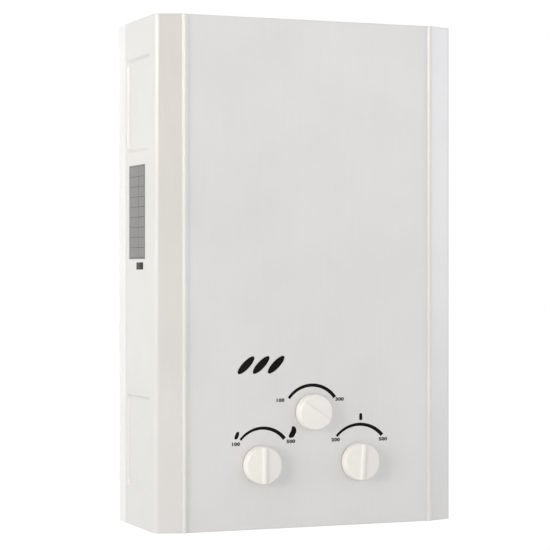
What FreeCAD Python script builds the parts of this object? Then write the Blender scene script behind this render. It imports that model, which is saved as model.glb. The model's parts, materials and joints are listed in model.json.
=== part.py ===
import FreeCAD
import Part
import Sketcher
import math
import os
import re

# A wall-hung LPG instantaneous water heater, in millimetres.
# The origin is the bottom centre of the wall face: +X is to the right seen from the front,
# +Z is up, and the front looks along -Y. A "depth" is a distance in front of the wall,
# so it is a negative y.

SIZES = [
    # Case
    ("case_width", 330),
    ("case_height", 520),
    ("case_depth", 128),
    ("flange_depth", 21),
    ("cover_gap", 0.3),
    ("cover_sheet", 0.8),
    ("back_sheet", 0.8),
    # Front cover: two upright beads, a bevelled strip outside each, and rounded bends
    ("bend_inset", 11.9),
    ("bend_radius", 6.5),
    ("ridge_inset", 29),
    ("ridge_top", 1.6),
    ("ridge_foot", 4.8),
    ("ridge_rise", 2.5),
    ("ridge_radius", 1.2),
    ("bevel_foot_inset", 2.4),
    ("foot_radius", 2.5),
    ("return_width", 12),
    # Pressed recesses in the cover's sides
    ("recess_depth", 2.5),
    ("recess_height", 97),
    ("recess_front_inset", 13.8),
    ("recess_inset", 3.5),
    ("recess_end", 86.5),
    ("recess_corner", 8),
    ("recess_angle", 45),
    # Data plate on the left side
    ("plate_length", 50.5),
    ("plate_height", 96.5),
    ("plate_sheet", 0.4),
    ("plate_depth", 59.8),
    ("plate_drop", 197),
    # Back panel
    ("lip_length", 10),
    ("lip_root", 4),
    ("lip_end", 6),
    ("tab_width", 9),
    ("fixing_width", 180),
    ("fixing_low", 62),
    ("fixing_top_inset", 42),
    ("fixing_radius", 3.5),
    ("rib_place", 60),
    ("rib_foot", 14),
    ("rib_top", 8),
    ("rib_rise", 2.5),
    ("rib_end", 90),
    # Cover screws
    ("screw_inset", 9),
    ("screw_back", 5),
    ("screw_radius", 2),
    ("screw_clearance", 0.2),
    ("screw_length", 6),
    ("screw_head_radius", 3.5),
    ("screw_head_height", 1.6),
    # Exhaust opening, grille and draft hood
    ("exhaust_width", 172),
    ("exhaust_length", 56),
    ("grille_margin", 8),
    ("grille_slot", 6),
    ("grille_pitch", 10.5),
    ("grille_slots", 15),
    ("grille_bar", 4),
    ("hood_sheet", 0.8),
    ("hood_neck", 50),
    # Base panel
    ("base_height", 24),
    ("base_sheet", 0.8),
    ("base_side_gap", 2.5),
    ("base_front_gap", 2),
    ("base_bevel", 30),
    ("base_flange", 10),
    ("base_flange_end", 12),
    ("base_flange_gap", 1),
    ("hole_gap", 0.4),
    ("air_slot", 6),
    ("air_slot_length", 24),
    ("air_slot_inset", 40),
    ("air_slot_rear", 12),
    ("air_slot_start", -100),
    ("air_slot_pitch", 14),
    ("air_slots", 14),
    # Viewing window behind the three slanted slots
    ("view_place", -54),
    ("view_rise", 41),
    ("view_web", 5),
    ("view_drop", 2),
    ("slot_long", 24.4),
    ("slot_short", 8),
    ("slot_angle", 44),
    ("slot_pitch", 16.4),
    ("pane_width", 64),
    ("pane_height", 32),
    ("pane_thick", 1.5),
    ("frame_rim", 6),
    ("frame_lip", 4),
    ("frame_back", 1.2),
    ("frame_slack", 0.2),
    # Knobs
    ("knob_spread", 54.5),
    ("knob_low", 65.5),
    ("knob_high", 118),
    ("season_place", 2.3),
    ("knob_radius", 19.6),
    ("season_knob_radius", 18.6),
    ("knob_taper", 0.5),
    ("knob_skirt", 12),
    ("knob_gap", 0.8),
    ("knob_wall", 1.8),
    ("knob_web", 2.5),
    ("knob_dish", 1),
    ("knob_rim", 1.4),
    ("knob_crest", 1.5),
    ("grip_foot", 7),
    ("grip_crest", 1),
    ("hub_radius", 6),
    ("hub_length", 6),
    ("hub_hole_gap", 1),
    ("bore_depth", 11),
    ("season_angle", -56),
    ("water_angle", 4),
    # Spindles
    ("spindle_radius", 4),
    ("spindle_flat", 2.8),
    ("spindle_slack", 0.05),
    ("spindle_run", 28),
    ("spindle_end_gap", 0.5),
    ("flat_margin", 1),
    # Gas valve and water valve
    ("valve_depth", 57),
    ("valve_low", 44),
    ("valve_high", 88),
    ("valve_thick", 44),
    ("valve_corner", 5),
    ("gas_valve_half", 29),
    ("boss_radius", 11),
    ("boss_length", 22),
    ("inlet_boss_radius", 13),
    ("inlet_boss_length", 8),
    ("outlet_boss_radius", 10),
    ("outlet_boss_length", 6),
    ("water_valve_right", 20),
    ("water_outlet_place", 4),
    ("channel_radius", 5),
    ("channel_depth", 14),
    ("bore_slack", 0.05),
    # Diaphragm housing, its screws, push rod and spring
    ("housing_run", 26.5),
    ("housing_thick", 10),
    ("housing_radius", 31),
    ("diaphragm_radius", 24.5),
    ("diaphragm_thick", 1.5),
    ("chamber_radius", 21),
    ("chamber_depth", 5),
    ("dome_radius", 24),
    ("dome_length", 12),
    ("dome_flange", 5),
    ("dome_roof", 3),
    ("dome_wall", 2),
    ("housing_screws", 4),
    ("housing_screw_circle", 27.6),
    ("housing_screw_radius", 1.6),
    ("housing_screw_head", 2.9),
    ("housing_screw_head_thick", 2),
    ("housing_screw_grip", 5),
    ("housing_screw_gap", 0.5),
    ("rod_radius", 2.5),
    ("rod_insert", 10.5),
    ("rod_travel", 4),
    ("rod_chamfer", 1),
    ("rod_end_gap", 0.5),
    ("rod_plate_radius", 15),
    ("rod_plate_thick", 2.2),
    ("collar_radius", 9),
    ("collar_thick", 2),
    ("collar_face", 2),
    ("spring_radius", 3.9),
    ("spring_wire", 1),
    ("spring_turns", 5),
    # Microswitch
    ("switch_left", -18),
    ("switch_length", 22),
    ("switch_low", 76),
    ("switch_tall", 16),
    ("switch_thick", 10),
    ("switch_sheet", 1.2),
    ("lever_pivot", -1.5),
    ("lever_pivot_height", 84),
    ("lever_end", 62),
    ("lever_width", 3),
    ("lever_thick", 2.4),
    ("lever_gap", 0.4),
    ("lever_seat_gap", 0.3),
    ("lever_head", 3),
    ("lever_neck", 6),
    ("lever_pin_end", 0.3),
    ("bracket_foot", 12),
    ("lever_pin_radius", 1),
    # Gas solenoid
    ("solenoid_radius", 12),
    ("solenoid_length", 30),
    ("solenoid_flange_radius", 14),
    ("solenoid_flange", 4),
    ("plunger_radius", 4),
    ("plunger_length", 34),
    ("plunger_seat", 9),
    ("plunger_slack", 0.2),
    ("solenoid_wall", 3),
    # Pipe fittings: G1/2 outside threads
    ("thread_radius", 10.48),
    ("thread_length", 15),
    ("thread_start", 1.5),
    ("thread_chamfer", 1.2),
    ("nut_radius", 15.6),
    ("neck_radius", 9),
    ("fitting_bore", 6.5),
    ("filter_bore", 8),
    ("filter_seat", 4),
    ("filter_wall", 0.8),
    ("filter_length", 16),
    ("filter_slack", 0.2),
    ("hot_gap", 19.5),
    ("drain_run", 25.5),
    ("drain_ear_high", 62),
    ("drain_boss_radius", 7),
    ("drain_boss_length", 6),
    ("drain_bore", 4.5),
    ("drain_slack", 0.1),
    ("drain_ear_margin", 1),
    ("drain_end_gap", 1),
    ("drain_hole_radius", 9),
    ("drain_stem", 4),
    ("drain_flange_radius", 7),
    ("drain_flange", 4),
    ("drain_grip_width", 14),
    ("drain_grip_thick", 4),
    ("drain_grip_low", 12),
    ("drain_grip_high", 26),
    # Burner
    ("chamber_half", 106),
    ("chamber_rear", 18),
    ("chamber_inset", 32),
    ("burner_rise", 8),
    ("burner_tall", 68),
    ("burner_sheet", 1),
    ("blades", 10),
    ("blade_margin", 12),
    ("blade_thick", 8),
    ("blade_foot", 4),
    ("blade_drop", 12),
    ("mouth_rise", 4),
    ("mouth_tall", 16),
    ("throat_length", 12),
    ("throat_wall", 3),
    ("blade_cut", 14),
    ("gill_step", 2),
    ("gill_tall", 6),
    ("port_count", 7),
    ("port_pitch", 10),
    ("port_length", 5),
    ("port_wall", 1.2),
    ("port_depth", 7),
    # Gas manifold, injectors, season valve and feed pipe
    ("manifold_side_gap", 1),
    ("manifold_gap", 6),
    ("manifold_deep", 12),
    ("manifold_margin", 1),
    ("leg_channel", 3.4),
    ("manifold_channel", 4),
    ("manifold_end", 5),
    ("manifold_floor", 3),
    ("manifold_leg_half", 9),
    ("leg_end", 11),
    ("manifold_lug", 9),
    ("injector_radius", 4.5),
    ("injector_hex", 4),
    ("injector_tip_radius", 2.2),
    ("injector_tip", 4),
    ("season_half", 15),
    ("season_reach", 15),
    ("season_gap", 2),
    ("season_run", 18),
    ("season_boss", 5),
    ("feed_radius", 7),
    ("feed_drop", 23),
    ("feed_bend", 16),
    # Combustion chamber, heat exchanger and water pipes
    ("chamber_tall", 172),
    ("chamber_sheet", 0.8),
    ("chamber_corner", 8),
    ("pipe_radius", 6),
    ("pipe_bend", 14),
    ("pipe_gap", 0.5),
    ("riser_rise", 18),
    ("riser_joint", 35),
    ("coil_rise", 56),
    ("exchanger_tall", 38),
    ("tube_radius", 9),
    ("tube_inset", 21),
    ("tube_slack", 0.1),
    ("fins", 11),
    ("fin_side_margin", 32),
    ("fin_thick", 0.8),
    ("fin_margin", 4),
    ("header_half", 10),
    ("header_reach", 16),
    ("header_corner", 4),
    ("hot_pipe_radius", 7.5),
    ("hot_header_reach", 36),
    ("sensor_radius", 8),
    ("sensor_thick", 6),
    ("sensor_step", 2),
    ("bracket_inset", 22),
    ("bracket_width", 24),
    ("bracket_tall", 20),
    ("bracket_sheet", 1.5),
    ("bracket_low_rise", 34),
    ("bracket_high_drop", 36),
    # Ignition
    ("electrode_place", 46),
    ("electrode_pitch", 14),
    ("electrode_drop", 7),
    ("electrode_radius", 3),
    ("electrode_out", 12),
    ("electrode_length", 26),
    ("electrode_wire", 0.8),
    ("electrode_reach", 20),
    ("electrode_plate_width", 30),
    ("electrode_plate_height", 16),
    ("electrode_plate_sheet", 1),
    ("electrode_window", 4),
    ("module_inset", 41),
    ("module_width", 34),
    ("module_depth", 38),
    ("module_low", 130),
    ("module_height", 70),
    ("module_corner", 3),
    ("lead_radius", 1.5),
    ("lead_out", 5),
    ("lead_bend", 5),
    # Battery box for two D cells, and its door
    ("battery_inset", 37),
    ("battery_width", 44),
    ("battery_rear", 31),
    ("battery_length", 74),
    ("battery_high", 93),
    ("battery_wall", 1.5),
    ("battery_rim", 3),
    ("cell_radius", 16.5),
    ("cell_pitch", 35),
    ("cell_low", 29),
    ("cell_height", 59),
    ("nub_radius", 4.7),
    ("nub_height", 1.5),
    ("contact_sheet", 0.6),
    ("door_thick", 2.5),
    ("door_margin", 2.5),
    ("door_side_gap", 1),
    ("hinge_depth", 26.5),
    ("hinge_drop", 3),
    ("hinge_radius", 2.6),
    ("hinge_pin_radius", 1.2),
    ("hinge_slack", 0.06),
    ("hinge_ear", 1.8),
    ("latch_width", 16),
    ("latch_thick", 1.6),
    ("latch_height", 4),
    ("latch_gap", 0.6),
    ("latch_rib", 2),
    ("latch_rib_place", 8),
    ("latch_rib_rise", 1),
    ("leaf_foot", 8),
    ("leaf_tip", 6),
]

# Places that several pieces share, worked out from the sizes above.
PLACES = [
    # Case
    ("half_width", "case_width / 2"),
    ("cover_rear", "flange_depth + cover_gap"),
    ("bend_depth", "case_depth - bend_inset"),
    ("ridge_place", "half_width - ridge_inset"),
    ("bevel_foot_depth", "case_depth - bevel_foot_inset"),
    ("recess_length", "bend_depth - recess_front_inset - cover_rear - recess_inset"),
    ("panel_face", "case_depth - ridge_rise"),
    ("panel_back", "panel_face - cover_sheet"),
    ("plate_front", "plate_depth + plate_length / 2"),
    ("plate_middle", "case_height - plate_drop"),
    ("screw_place", "half_width - screw_inset"),
    ("fixing_rise", "case_height - fixing_top_inset - fixing_low"),
    ("base_top", "base_height + base_sheet"),
    ("air_slot_front", "case_depth - air_slot_inset"),
    # Chamber, exchanger and hood, from the season knob up
    ("chamber_front", "case_depth - chamber_inset"),
    ("burner_low", "knob_high + burner_rise"),
    ("burner_high", "burner_low + burner_tall"),
    ("chamber_high", "burner_high + chamber_tall"),
    ("exchanger_high", "chamber_high + exchanger_tall"),
    ("hood_rear", "(chamber_rear + chamber_front - exhaust_length) / 2"),
    ("hood_front", "hood_rear + exhaust_length"),
    ("hood_shoulder", "case_height - hood_neck"),
    ("grille_low", "case_height - cover_sheet - hood_sheet"),
    ("bracket_place", "chamber_half - bracket_inset"),
    ("bracket_low", "burner_low + bracket_low_rise"),
    ("bracket_high", "chamber_high - bracket_high_drop"),
    # Burner, window and manifold
    ("view_height", "burner_low + view_rise"),
    ("blade_pitch", "(2 * chamber_half - blade_margin) / blades"),
    ("blade_low", "burner_low + blade_foot"),
    ("blade_high", "burner_high - blade_drop"),
    ("mouth_low", "blade_low + mouth_rise"),
    ("mouth_high", "mouth_low + mouth_tall"),
    ("gill_low", "mouth_high + gill_step"),
    ("gill_high", "gill_low + gill_tall"),
    ("manifold_half", "chamber_half - manifold_side_gap"),
    ("manifold_rear", "chamber_front + manifold_gap"),
    ("manifold_front", "manifold_rear + manifold_deep"),
    ("manifold_low", "mouth_low + manifold_margin"),
    ("manifold_high", "mouth_high - manifold_margin"),
    ("feed_height", "manifold_low - feed_drop"),
    ("manifold_leg_low", "feed_height - leg_end"),
    ("season_low", "knob_high - season_reach"),
    ("season_rear", "chamber_front + season_gap"),
    ("season_front", "manifold_front + season_boss"),
    ("electrode_height", "burner_high - electrode_drop"),
    ("electrode_front", "chamber_front + electrode_out"),
    ("lead_front", "electrode_front + lead_out"),
    ("module_left", "half_width - module_inset"),
    # Valves, rod and switch
    ("neck_top", "valve_low - inlet_boss_length"),
    ("valve_rear", "valve_depth - valve_thick / 2"),
    ("valve_front", "valve_depth + valve_thick / 2"),
    ("boss_front", "valve_front + boss_length"),
    ("outlet_top", "valve_high + outlet_boss_length"),
    ("gas_valve_left", "-knob_spread - gas_valve_half"),
    ("gas_valve_right", "-knob_spread + gas_valve_half"),
    ("rod_tip", "gas_valve_right - rod_insert"),
    ("housing_face", "knob_spread - housing_run"),
    ("diaphragm_face", "housing_face - diaphragm_thick"),
    ("dome_end", "housing_face - dome_length"),
    ("drain_place", "knob_spread + drain_run"),
    ("switch_right", "switch_left + switch_length"),
    ("switch_high", "switch_low + switch_tall"),
    ("switch_front", "valve_depth + switch_thick / 2"),
    ("switch_rear", "valve_depth - switch_thick / 2"),
    # Knobs
    ("knob_rear", "panel_face + knob_gap"),
    ("hub_rear", "knob_rear - hub_length"),
    ("spindle_front", "hub_rear + bore_depth - spindle_end_gap"),
    # Water way
    ("tube_height", "chamber_high + exchanger_tall / 2"),
    ("tube_rear", "chamber_rear + tube_inset"),
    ("tube_front", "chamber_front - tube_inset"),
    ("header_low", "tube_height - header_half"),
    ("fin_pitch", "(2 * chamber_half - fin_side_margin) / (fins - 1)"),
    ("riser_place", "chamber_half + pipe_radius + pipe_gap"),
    ("riser_turn", "outlet_top + riser_rise"),
    ("coil_rear", "chamber_rear - pipe_radius - pipe_gap"),
    ("coil_height", "burner_high + coil_rise"),
    ("riser_top", "coil_height - riser_joint"),
    ("hot_place", "-(riser_place + hot_gap)"),
    ("hot_depth", "tube_rear"),
    # Battery box
    ("battery_place", "half_width - battery_inset"),
    ("box_left", "battery_place - battery_width / 2"),
    ("box_right", "battery_place + battery_width / 2"),
    ("box_front", "battery_rear + battery_length"),
    ("hinge_height", "base_height - hinge_drop"),
    ("door_half", "battery_width / 2 - battery_wall + door_margin - door_side_gap"),
]

doc = FreeCAD.newDocument("water_heater")
sheet = doc.addObject("Spreadsheet::Sheet", "Sizes")
places = doc.addObject("Spreadsheet::Sheet", "Places")
SHEET_OF = {alias: "Sizes" for alias, _ in SIZES} | {alias: "Places" for alias, _ in PLACES}


def full(text, own_sheet=None):
    """The expression with each alias led by the name of its sheet."""
    def lead(word):
        owner = SHEET_OF.get(word[0])
        return word[0] if owner in (None, own_sheet) else f"{owner}.{word[0]}"
    return re.sub(r"[a-z][a-z_]*", lead, str(text))


for row, (alias, value) in enumerate(SIZES, start=1):
    sheet.set(f"A{row}", alias)
    sheet.set(f"B{row}", str(value))
    sheet.setAlias(f"B{row}", alias)
for row, (alias, formula) in enumerate(PLACES, start=1):
    places.set(f"A{row}", alias)
    places.set(f"B{row}", "=" + full(formula, "Places"))
    places.setAlias(f"B{row}", alias)
doc.recompute()


def size(text):
    """The value of an expression in millimetres, degrees or a plain count."""
    value = sheet.evalExpression(full(text))
    return float(getattr(value, "Value", value))


def bind(thing, prop, text):
    """Ties a property of an object to an expression."""
    thing.setExpression(prop, full(text))


def vector(x, y, z):
    return FreeCAD.Vector(size(x), size(y), size(z))


def back(depth):
    """The y of a depth in front of the wall."""
    return f"-({depth})"


def rectangle(left, low, right, high):
    """The corners of an upright rectangle in a sketch, as pairs of expressions."""
    return [(left, low), (right, low), (right, high), (left, high)]


def plan(left, right, rear, front):
    """A rectangle seen from above, between two x places and two depths."""
    return rectangle(left, back(front), right, back(rear))


def hexagon(x, y, radius):
    """The corners of a hexagon, with its corner radius."""
    return [(f"{x} + ({radius}) * cos({angle})", f"{y} + ({radius}) * sin({angle})")
            for angle in range(0, 360, 60)]


class Circle:
    """A circle in a sketch, by expressions."""
    def __init__(self, x, y, radius):
        self.x = x
        self.y = y
        self.radius = radius


class Rounded:
    """A rectangle with rounded corners in a sketch, by expressions."""
    def __init__(self, left, low, right, high, radius):
        self.sides = (left, low, right, high)
        self.radius = radius


def tie(sketch, kind, geometry, end, text):
    """Binds the distance from the sketch's origin to a point."""
    index = sketch.addConstraint(Sketcher.Constraint(kind, -1, 1, geometry, end, size(text)))
    bind(sketch, f"Constraints[{index}]", text)


def tie_radius(sketch, geometry, text):
    index = sketch.addConstraint(Sketcher.Constraint("Radius", geometry, size(text)))
    bind(sketch, f"Constraints[{index}]", text)


def draw_circle(sketch, circle):
    centre = vector(circle.x, circle.y, 0)
    round_line = Part.Circle(centre, FreeCAD.Vector(0, 0, 1), size(circle.radius))
    index = sketch.addGeometry(round_line)
    tie(sketch, "DistanceX", index, 3, circle.x)
    tie(sketch, "DistanceY", index, 3, circle.y)
    tie_radius(sketch, index, circle.radius)


def draw_polygon(sketch, corners):
    first = sketch.GeometryCount
    count = len(corners)
    spots = [vector(x, y, 0) for x, y in corners]
    sketch.addGeometry([Part.LineSegment(spots[i], spots[(i + 1) % count]) for i in range(count)])
    sketch.addConstraint([Sketcher.Constraint("Coincident", first + i, 2, first + (i + 1) % count, 1)
                          for i in range(count)])
    for i, (x, y) in enumerate(corners):
        tie(sketch, "DistanceX", first + i, 1, x)
        tie(sketch, "DistanceY", first + i, 1, y)


def draw_rounded(sketch, shape):
    """Four lines and four tangent arcs, anticlockwise from the low side."""
    left, low, right, high = (size(side) for side in shape.sides)
    r = size(shape.radius)
    up = FreeCAD.Vector(0, 0, 1)
    first = sketch.GeometryCount
    inner = [(right - r, low + r), (right - r, high - r), (left + r, high - r), (left + r, low + r)]
    lines = [((left + r, low), (right - r, low)), ((right, low + r), (right, high - r)),
             ((right - r, high), (left + r, high)), ((left, high - r), (left, low + r))]
    for quarter, ((start, end), centre) in enumerate(zip(lines, inner)):
        begin = (quarter - 1) * math.pi / 2
        round_line = Part.Circle(FreeCAD.Vector(*centre, 0), up, r)
        sketch.addGeometry(Part.LineSegment(FreeCAD.Vector(*start, 0), FreeCAD.Vector(*end, 0)))
        sketch.addGeometry(Part.ArcOfCircle(round_line, begin, begin + math.pi / 2))
    for i in range(8):
        joint = Sketcher.Constraint("Tangent", first + i, 2, first + (i + 1) % 8, 1)
        sketch.addConstraint(joint)
    for i, direction in enumerate(("Horizontal", "Vertical") * 2):
        sketch.addConstraint(Sketcher.Constraint(direction, first + 2 * i))
    for line, kind, side in ((6, "DistanceX", 0), (0, "DistanceY", 1), (2, "DistanceX", 2),
                             (4, "DistanceY", 3)):
        tie(sketch, kind, first + line, 1, shape.sides[side])
    for arc in (3, 5, 7):
        sketch.addConstraint(Sketcher.Constraint("Equal", first + 1, first + arc))
    tie_radius(sketch, first + 1, shape.radius)


class Piece:
    """A body of PartDesign features. Its pads grow, and its pockets cut, along the plane's normal:
    up from XY, to the front from XZ and to the right from YZ, unless they are turned round."""

    made = []

    def __init__(self, name):
        self.body = doc.addObject("PartDesign::Body", name)
        self.body.Label = name
        self.steps = 0
        Piece.made.append(self.body)

    def add(self, kind):
        self.steps += 1
        return self.body.newObject(f"PartDesign::{kind}", f"{self.body.Name}_{kind}_{self.steps}")

    def sketch(self, plane, offset, loops):
        self.steps += 1
        sketch = self.body.newObject("Sketcher::SketchObject", f"{self.body.Name}_sketch_{self.steps}")
        support = next(f for f in self.body.Origin.OriginFeatures if f.Role == f"{plane}_Plane")
        sketch.AttachmentSupport = [(support, "")]
        sketch.MapMode = "FlatFace"
        bind(sketch, "AttachmentOffset.Base.z", offset)
        for loop in loops:
            if isinstance(loop, Circle):
                draw_circle(sketch, loop)
            elif isinstance(loop, Rounded):
                draw_rounded(sketch, loop)
            else:
                draw_polygon(sketch, loop)
        return sketch

    def pad(self, plane, offset, loops, length, turned=False, taper=None):
        pad = self.add("Pad")
        pad.Profile = self.sketch(plane, offset, loops)
        bind(pad, "Length", length)
        pad.Reversed = turned
        if taper:
            bind(pad, "TaperAngle", taper)
        self.body.Tip = pad
        return pad

    def pocket(self, plane, offset, loops, length, turned=False, taper=None):
        """A pocket cuts along the plane's normal, and the other way when turned."""
        pocket = self.add("Pocket")
        pocket.Profile = self.sketch(plane, offset, loops)
        bind(pocket, "Length", length)
        pocket.Reversed = not turned
        if taper:
            bind(pocket, "TaperAngle", taper)
        self.body.Tip = pocket
        return pocket

    def revolve(self, loops, axis):
        """A full turn of an outline drawn in the XY plane, about H_Axis (X) or V_Axis (Y)."""
        turn = self.add("Revolution")
        turn.Profile = self.sketch("XY", 0, loops)
        turn.ReferenceAxis = (turn.Profile[0], [axis])
        turn.Angle = 360
        self.body.Tip = turn
        return turn

    def loft(self, plane, first, second):
        """A straight loft between two outlines, each given as an offset and its loops."""
        loft = self.add("AdditiveLoft")
        loft.Profile = self.sketch(plane, *first)
        loft.Sections = [self.sketch(plane, *second)]
        loft.Ruled = True
        self.body.Tip = loft
        return loft

    def row(self, originals, pitch, count):
        """Repeats features to the right. The pitch and the count come from the sheet."""
        pattern = self.add("LinearPattern")
        pattern.Originals = originals
        axis = next(f for f in self.body.Origin.OriginFeatures if f.Role == "X_Axis")
        pattern.Direction = (axis, [""])
        bind(pattern, "Length", f"({pitch}) * ({count} - 1)")
        bind(pattern, "Occurrences", count)
        self.body.Tip = pattern
        return pattern

    def edges(self, along, spots):
        """The straight edges along X, Y or Z at these places of the other two coordinates."""
        doc.recompute()
        kept = [axis for axis in "xyz" if axis != along.lower()]
        spots = [[size(text) for text in spot] for spot in spots]
        names = []
        for number, edge in enumerate(self.body.Tip.Shape.Edges, start=1):
            ends = [[getattr(v.Point, axis) for axis in kept] for v in edge.Vertexes]
            if len(ends) == 2 and any(math.dist(end, spot) < 0.001 for spot in spots
                                      for end in ends[:1]) and math.dist(*ends) < 0.001:
                names.append(f"Edge{number}")
        return names

    def faces(self, axis, places):
        """The flat faces across an axis at these places."""
        doc.recompute()
        places = [size(text) for text in places]
        names = []
        for number, face in enumerate(self.body.Tip.Shape.Faces, start=1):
            span = face.BoundBox
            low, high = getattr(span, f"{axis}Min"), getattr(span, f"{axis}Max")
            if high - low < 0.001 and any(abs(low - place) < 0.001 for place in places):
                names.append(f"Face{number}")
        return names

    def round_edges(self, names, radius, kind="Fillet"):
        base = self.body.Tip
        fillet = self.add(kind)
        fillet.Base = (base, names)
        bind(fillet, "Radius" if kind == "Fillet" else "Size", radius)
        self.body.Tip = fillet
        return fillet

    def shell(self, open_faces, wall):
        """Hollows the body inwards, open at these faces."""
        base = self.body.Tip
        thickness = self.add("Thickness")
        thickness.Base = (base, open_faces)
        bind(thickness, "Value", wall)
        thickness.Reversed = True
        self.body.Tip = thickness
        return thickness

    def stand(self, x=0, y=0, z=0, angle=None):
        """Places the body. An angle turns it about +Y, clockwise seen from the front."""
        for axis, text in zip("xyz", (x, y, z)):
            bind(self.body, f"Placement.Base.{axis}", text)
        if angle:
            self.body.Placement.Rotation = FreeCAD.Rotation(FreeCAD.Vector(0, 1, 0), size(angle))
            bind(self.body, "Placement.Rotation.Angle", angle)


def group(name, members):
    """One node of several separate solids."""
    compound = doc.addObject("Part::Compound", name)
    compound.Label = name
    compound.Links = members
    Piece.made.append(compound)
    return compound


def rod(name, radius, height, x, y, z, along="Z"):
    """A round bar from a point, along X, Y or Z. Along Y it runs to the front."""
    bar = doc.addObject("Part::Cylinder", name)
    bar.Label = name
    bind(bar, "Radius", radius)
    bind(bar, "Height", height)
    turn = {"X": FreeCAD.Rotation(FreeCAD.Vector(0, 1, 0), 90),
            "Y": FreeCAD.Rotation(FreeCAD.Vector(1, 0, 0), 90), "Z": FreeCAD.Rotation()}
    bar.Placement.Rotation = turn[along]
    for axis, text in zip("xyz", (x, y, z)):
        bind(bar, f"Placement.Base.{axis}", text)
    return bar


def fuse(name, members):
    joined = doc.addObject("Part::MultiFuse", name)
    joined.Label = name
    joined.Shapes = members
    return joined


def cut(name, base, tool):
    result = doc.addObject("Part::Cut", name)
    result.Label = name
    result.Base = base
    result.Tool = tool
    return result


def pipe(name, points, bend, radius):
    """A solid round bar along straight runs joined by bends of one radius."""
    edges = []
    start = points[0]
    for before, corner, after in zip(points, points[1:], points[2:]):
        arrive = (corner - before).normalize()
        leave = (after - corner).normalize()
        turn = arrive.getAngle(leave)
        setback = bend * math.tan(turn / 2)
        first = corner - arrive * setback
        last = corner + leave * setback
        inward = (leave - arrive).normalize()
        middle = corner + inward * (bend / math.cos(turn / 2) - bend)
        if not first.isEqual(start, 0.001):
            edges.append(Part.LineSegment(start, first))
        edges.append(Part.Arc(first, middle, last))
        start = last
    edges.append(Part.LineSegment(start, points[-1]))
    path = Part.Wire([edge.toShape() for edge in edges])
    heading = points[1] - points[0]
    ring = Part.Wire([Part.Circle(points[0], heading, radius).toShape()])
    feature = doc.addObject("Part::Feature", name)
    feature.Label = name
    feature.Shape = path.makePipeShell([ring], True, False)
    Piece.made.append(feature)
    return feature


# ---------------------------------------------------------------- case

def screw_holes():
    """The holes of the two cover screws at one end of the case, seen from above."""
    return [Circle(f"{side} * screw_place", back("cover_rear + screw_back"), "screw_radius + screw_clearance")
            for side in (-1, 1)]


def back_panel():
    """A tray on the wall, with stepped lips that the cover slides over."""
    piece = Piece("back_panel")
    piece.pad("XZ", 0, [rectangle("-half_width", 0, "half_width", "case_height")], "flange_depth")
    piece.shell(piece.faces("Y", ["-flange_depth"]), "back_sheet")
    for side in (-1, 1):
        inside = "half_width - back_sheet"
        outer = "half_width - cover_sheet - cover_gap"
        inner = f"{outer} - back_sheet"
        lip = [(inner, "flange_depth - lip_root"), (inside, "flange_depth - lip_root"),
               (inside, "flange_depth"), (outer, "flange_depth"),
               (outer, "flange_depth + lip_length"), (inner, "flange_depth + lip_length")]
        corners = [(f"{side} * ({x})", back(depth)) for x, depth in lip]
        low = "recess_end + recess_height / 2 + lip_end"
        piece.pad("XY", low, [corners], f"case_height - 2 * ({low})")
    for low in (True, False):
        inside = "back_sheet" if low else "case_height - back_sheet"
        step = "" if low else "case_height - "
        outer = f"{step}(cover_sheet + cover_gap)"
        inner = f"{step}(cover_sheet + cover_gap + back_sheet)"
        lip = [("flange_depth - lip_root", inner), ("flange_depth - lip_root", inside),
               ("flange_depth", inside), ("flange_depth", outer),
               ("flange_depth + lip_length", outer), ("flange_depth + lip_length", inner)]
        corners = [(back(depth), z) for depth, z in lip]
        for side in (-1, 1):
            piece.pad("YZ", f"{side} * screw_place - tab_width / 2", [corners], "tab_width")
    ribs = []
    for side in (-1, 1):
        middle = f"{side} * rib_place"
        ribs.append([(f"{middle} - rib_foot / 2", 0), (f"{middle} - rib_top / 2", "-rib_rise"),
                     (f"{middle} + rib_top / 2", "-rib_rise"), (f"{middle} + rib_foot / 2", 0)])
    proud = [[(x, f"{y} - back_sheet") for x, y in rib] for rib in ribs]
    piece.pad("XY", "rib_end", proud, "case_height - 2 * rib_end")
    piece.pocket("XY", "rib_end", ribs, "case_height - 2 * rib_end")
    holes = [Circle(f"{side} * fixing_width / 2", f"fixing_low + {row} * fixing_rise", "fixing_radius")
             for side in (-1, 1) for row in (0, 1)]
    piece.pocket("XZ", 0, holes, "back_sheet")
    piece.pocket("XY", "cover_sheet + cover_gap", screw_holes(), "back_sheet")
    piece.pocket("XY", "case_height - cover_sheet - cover_gap", screw_holes(), "back_sheet", turned=True)


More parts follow.
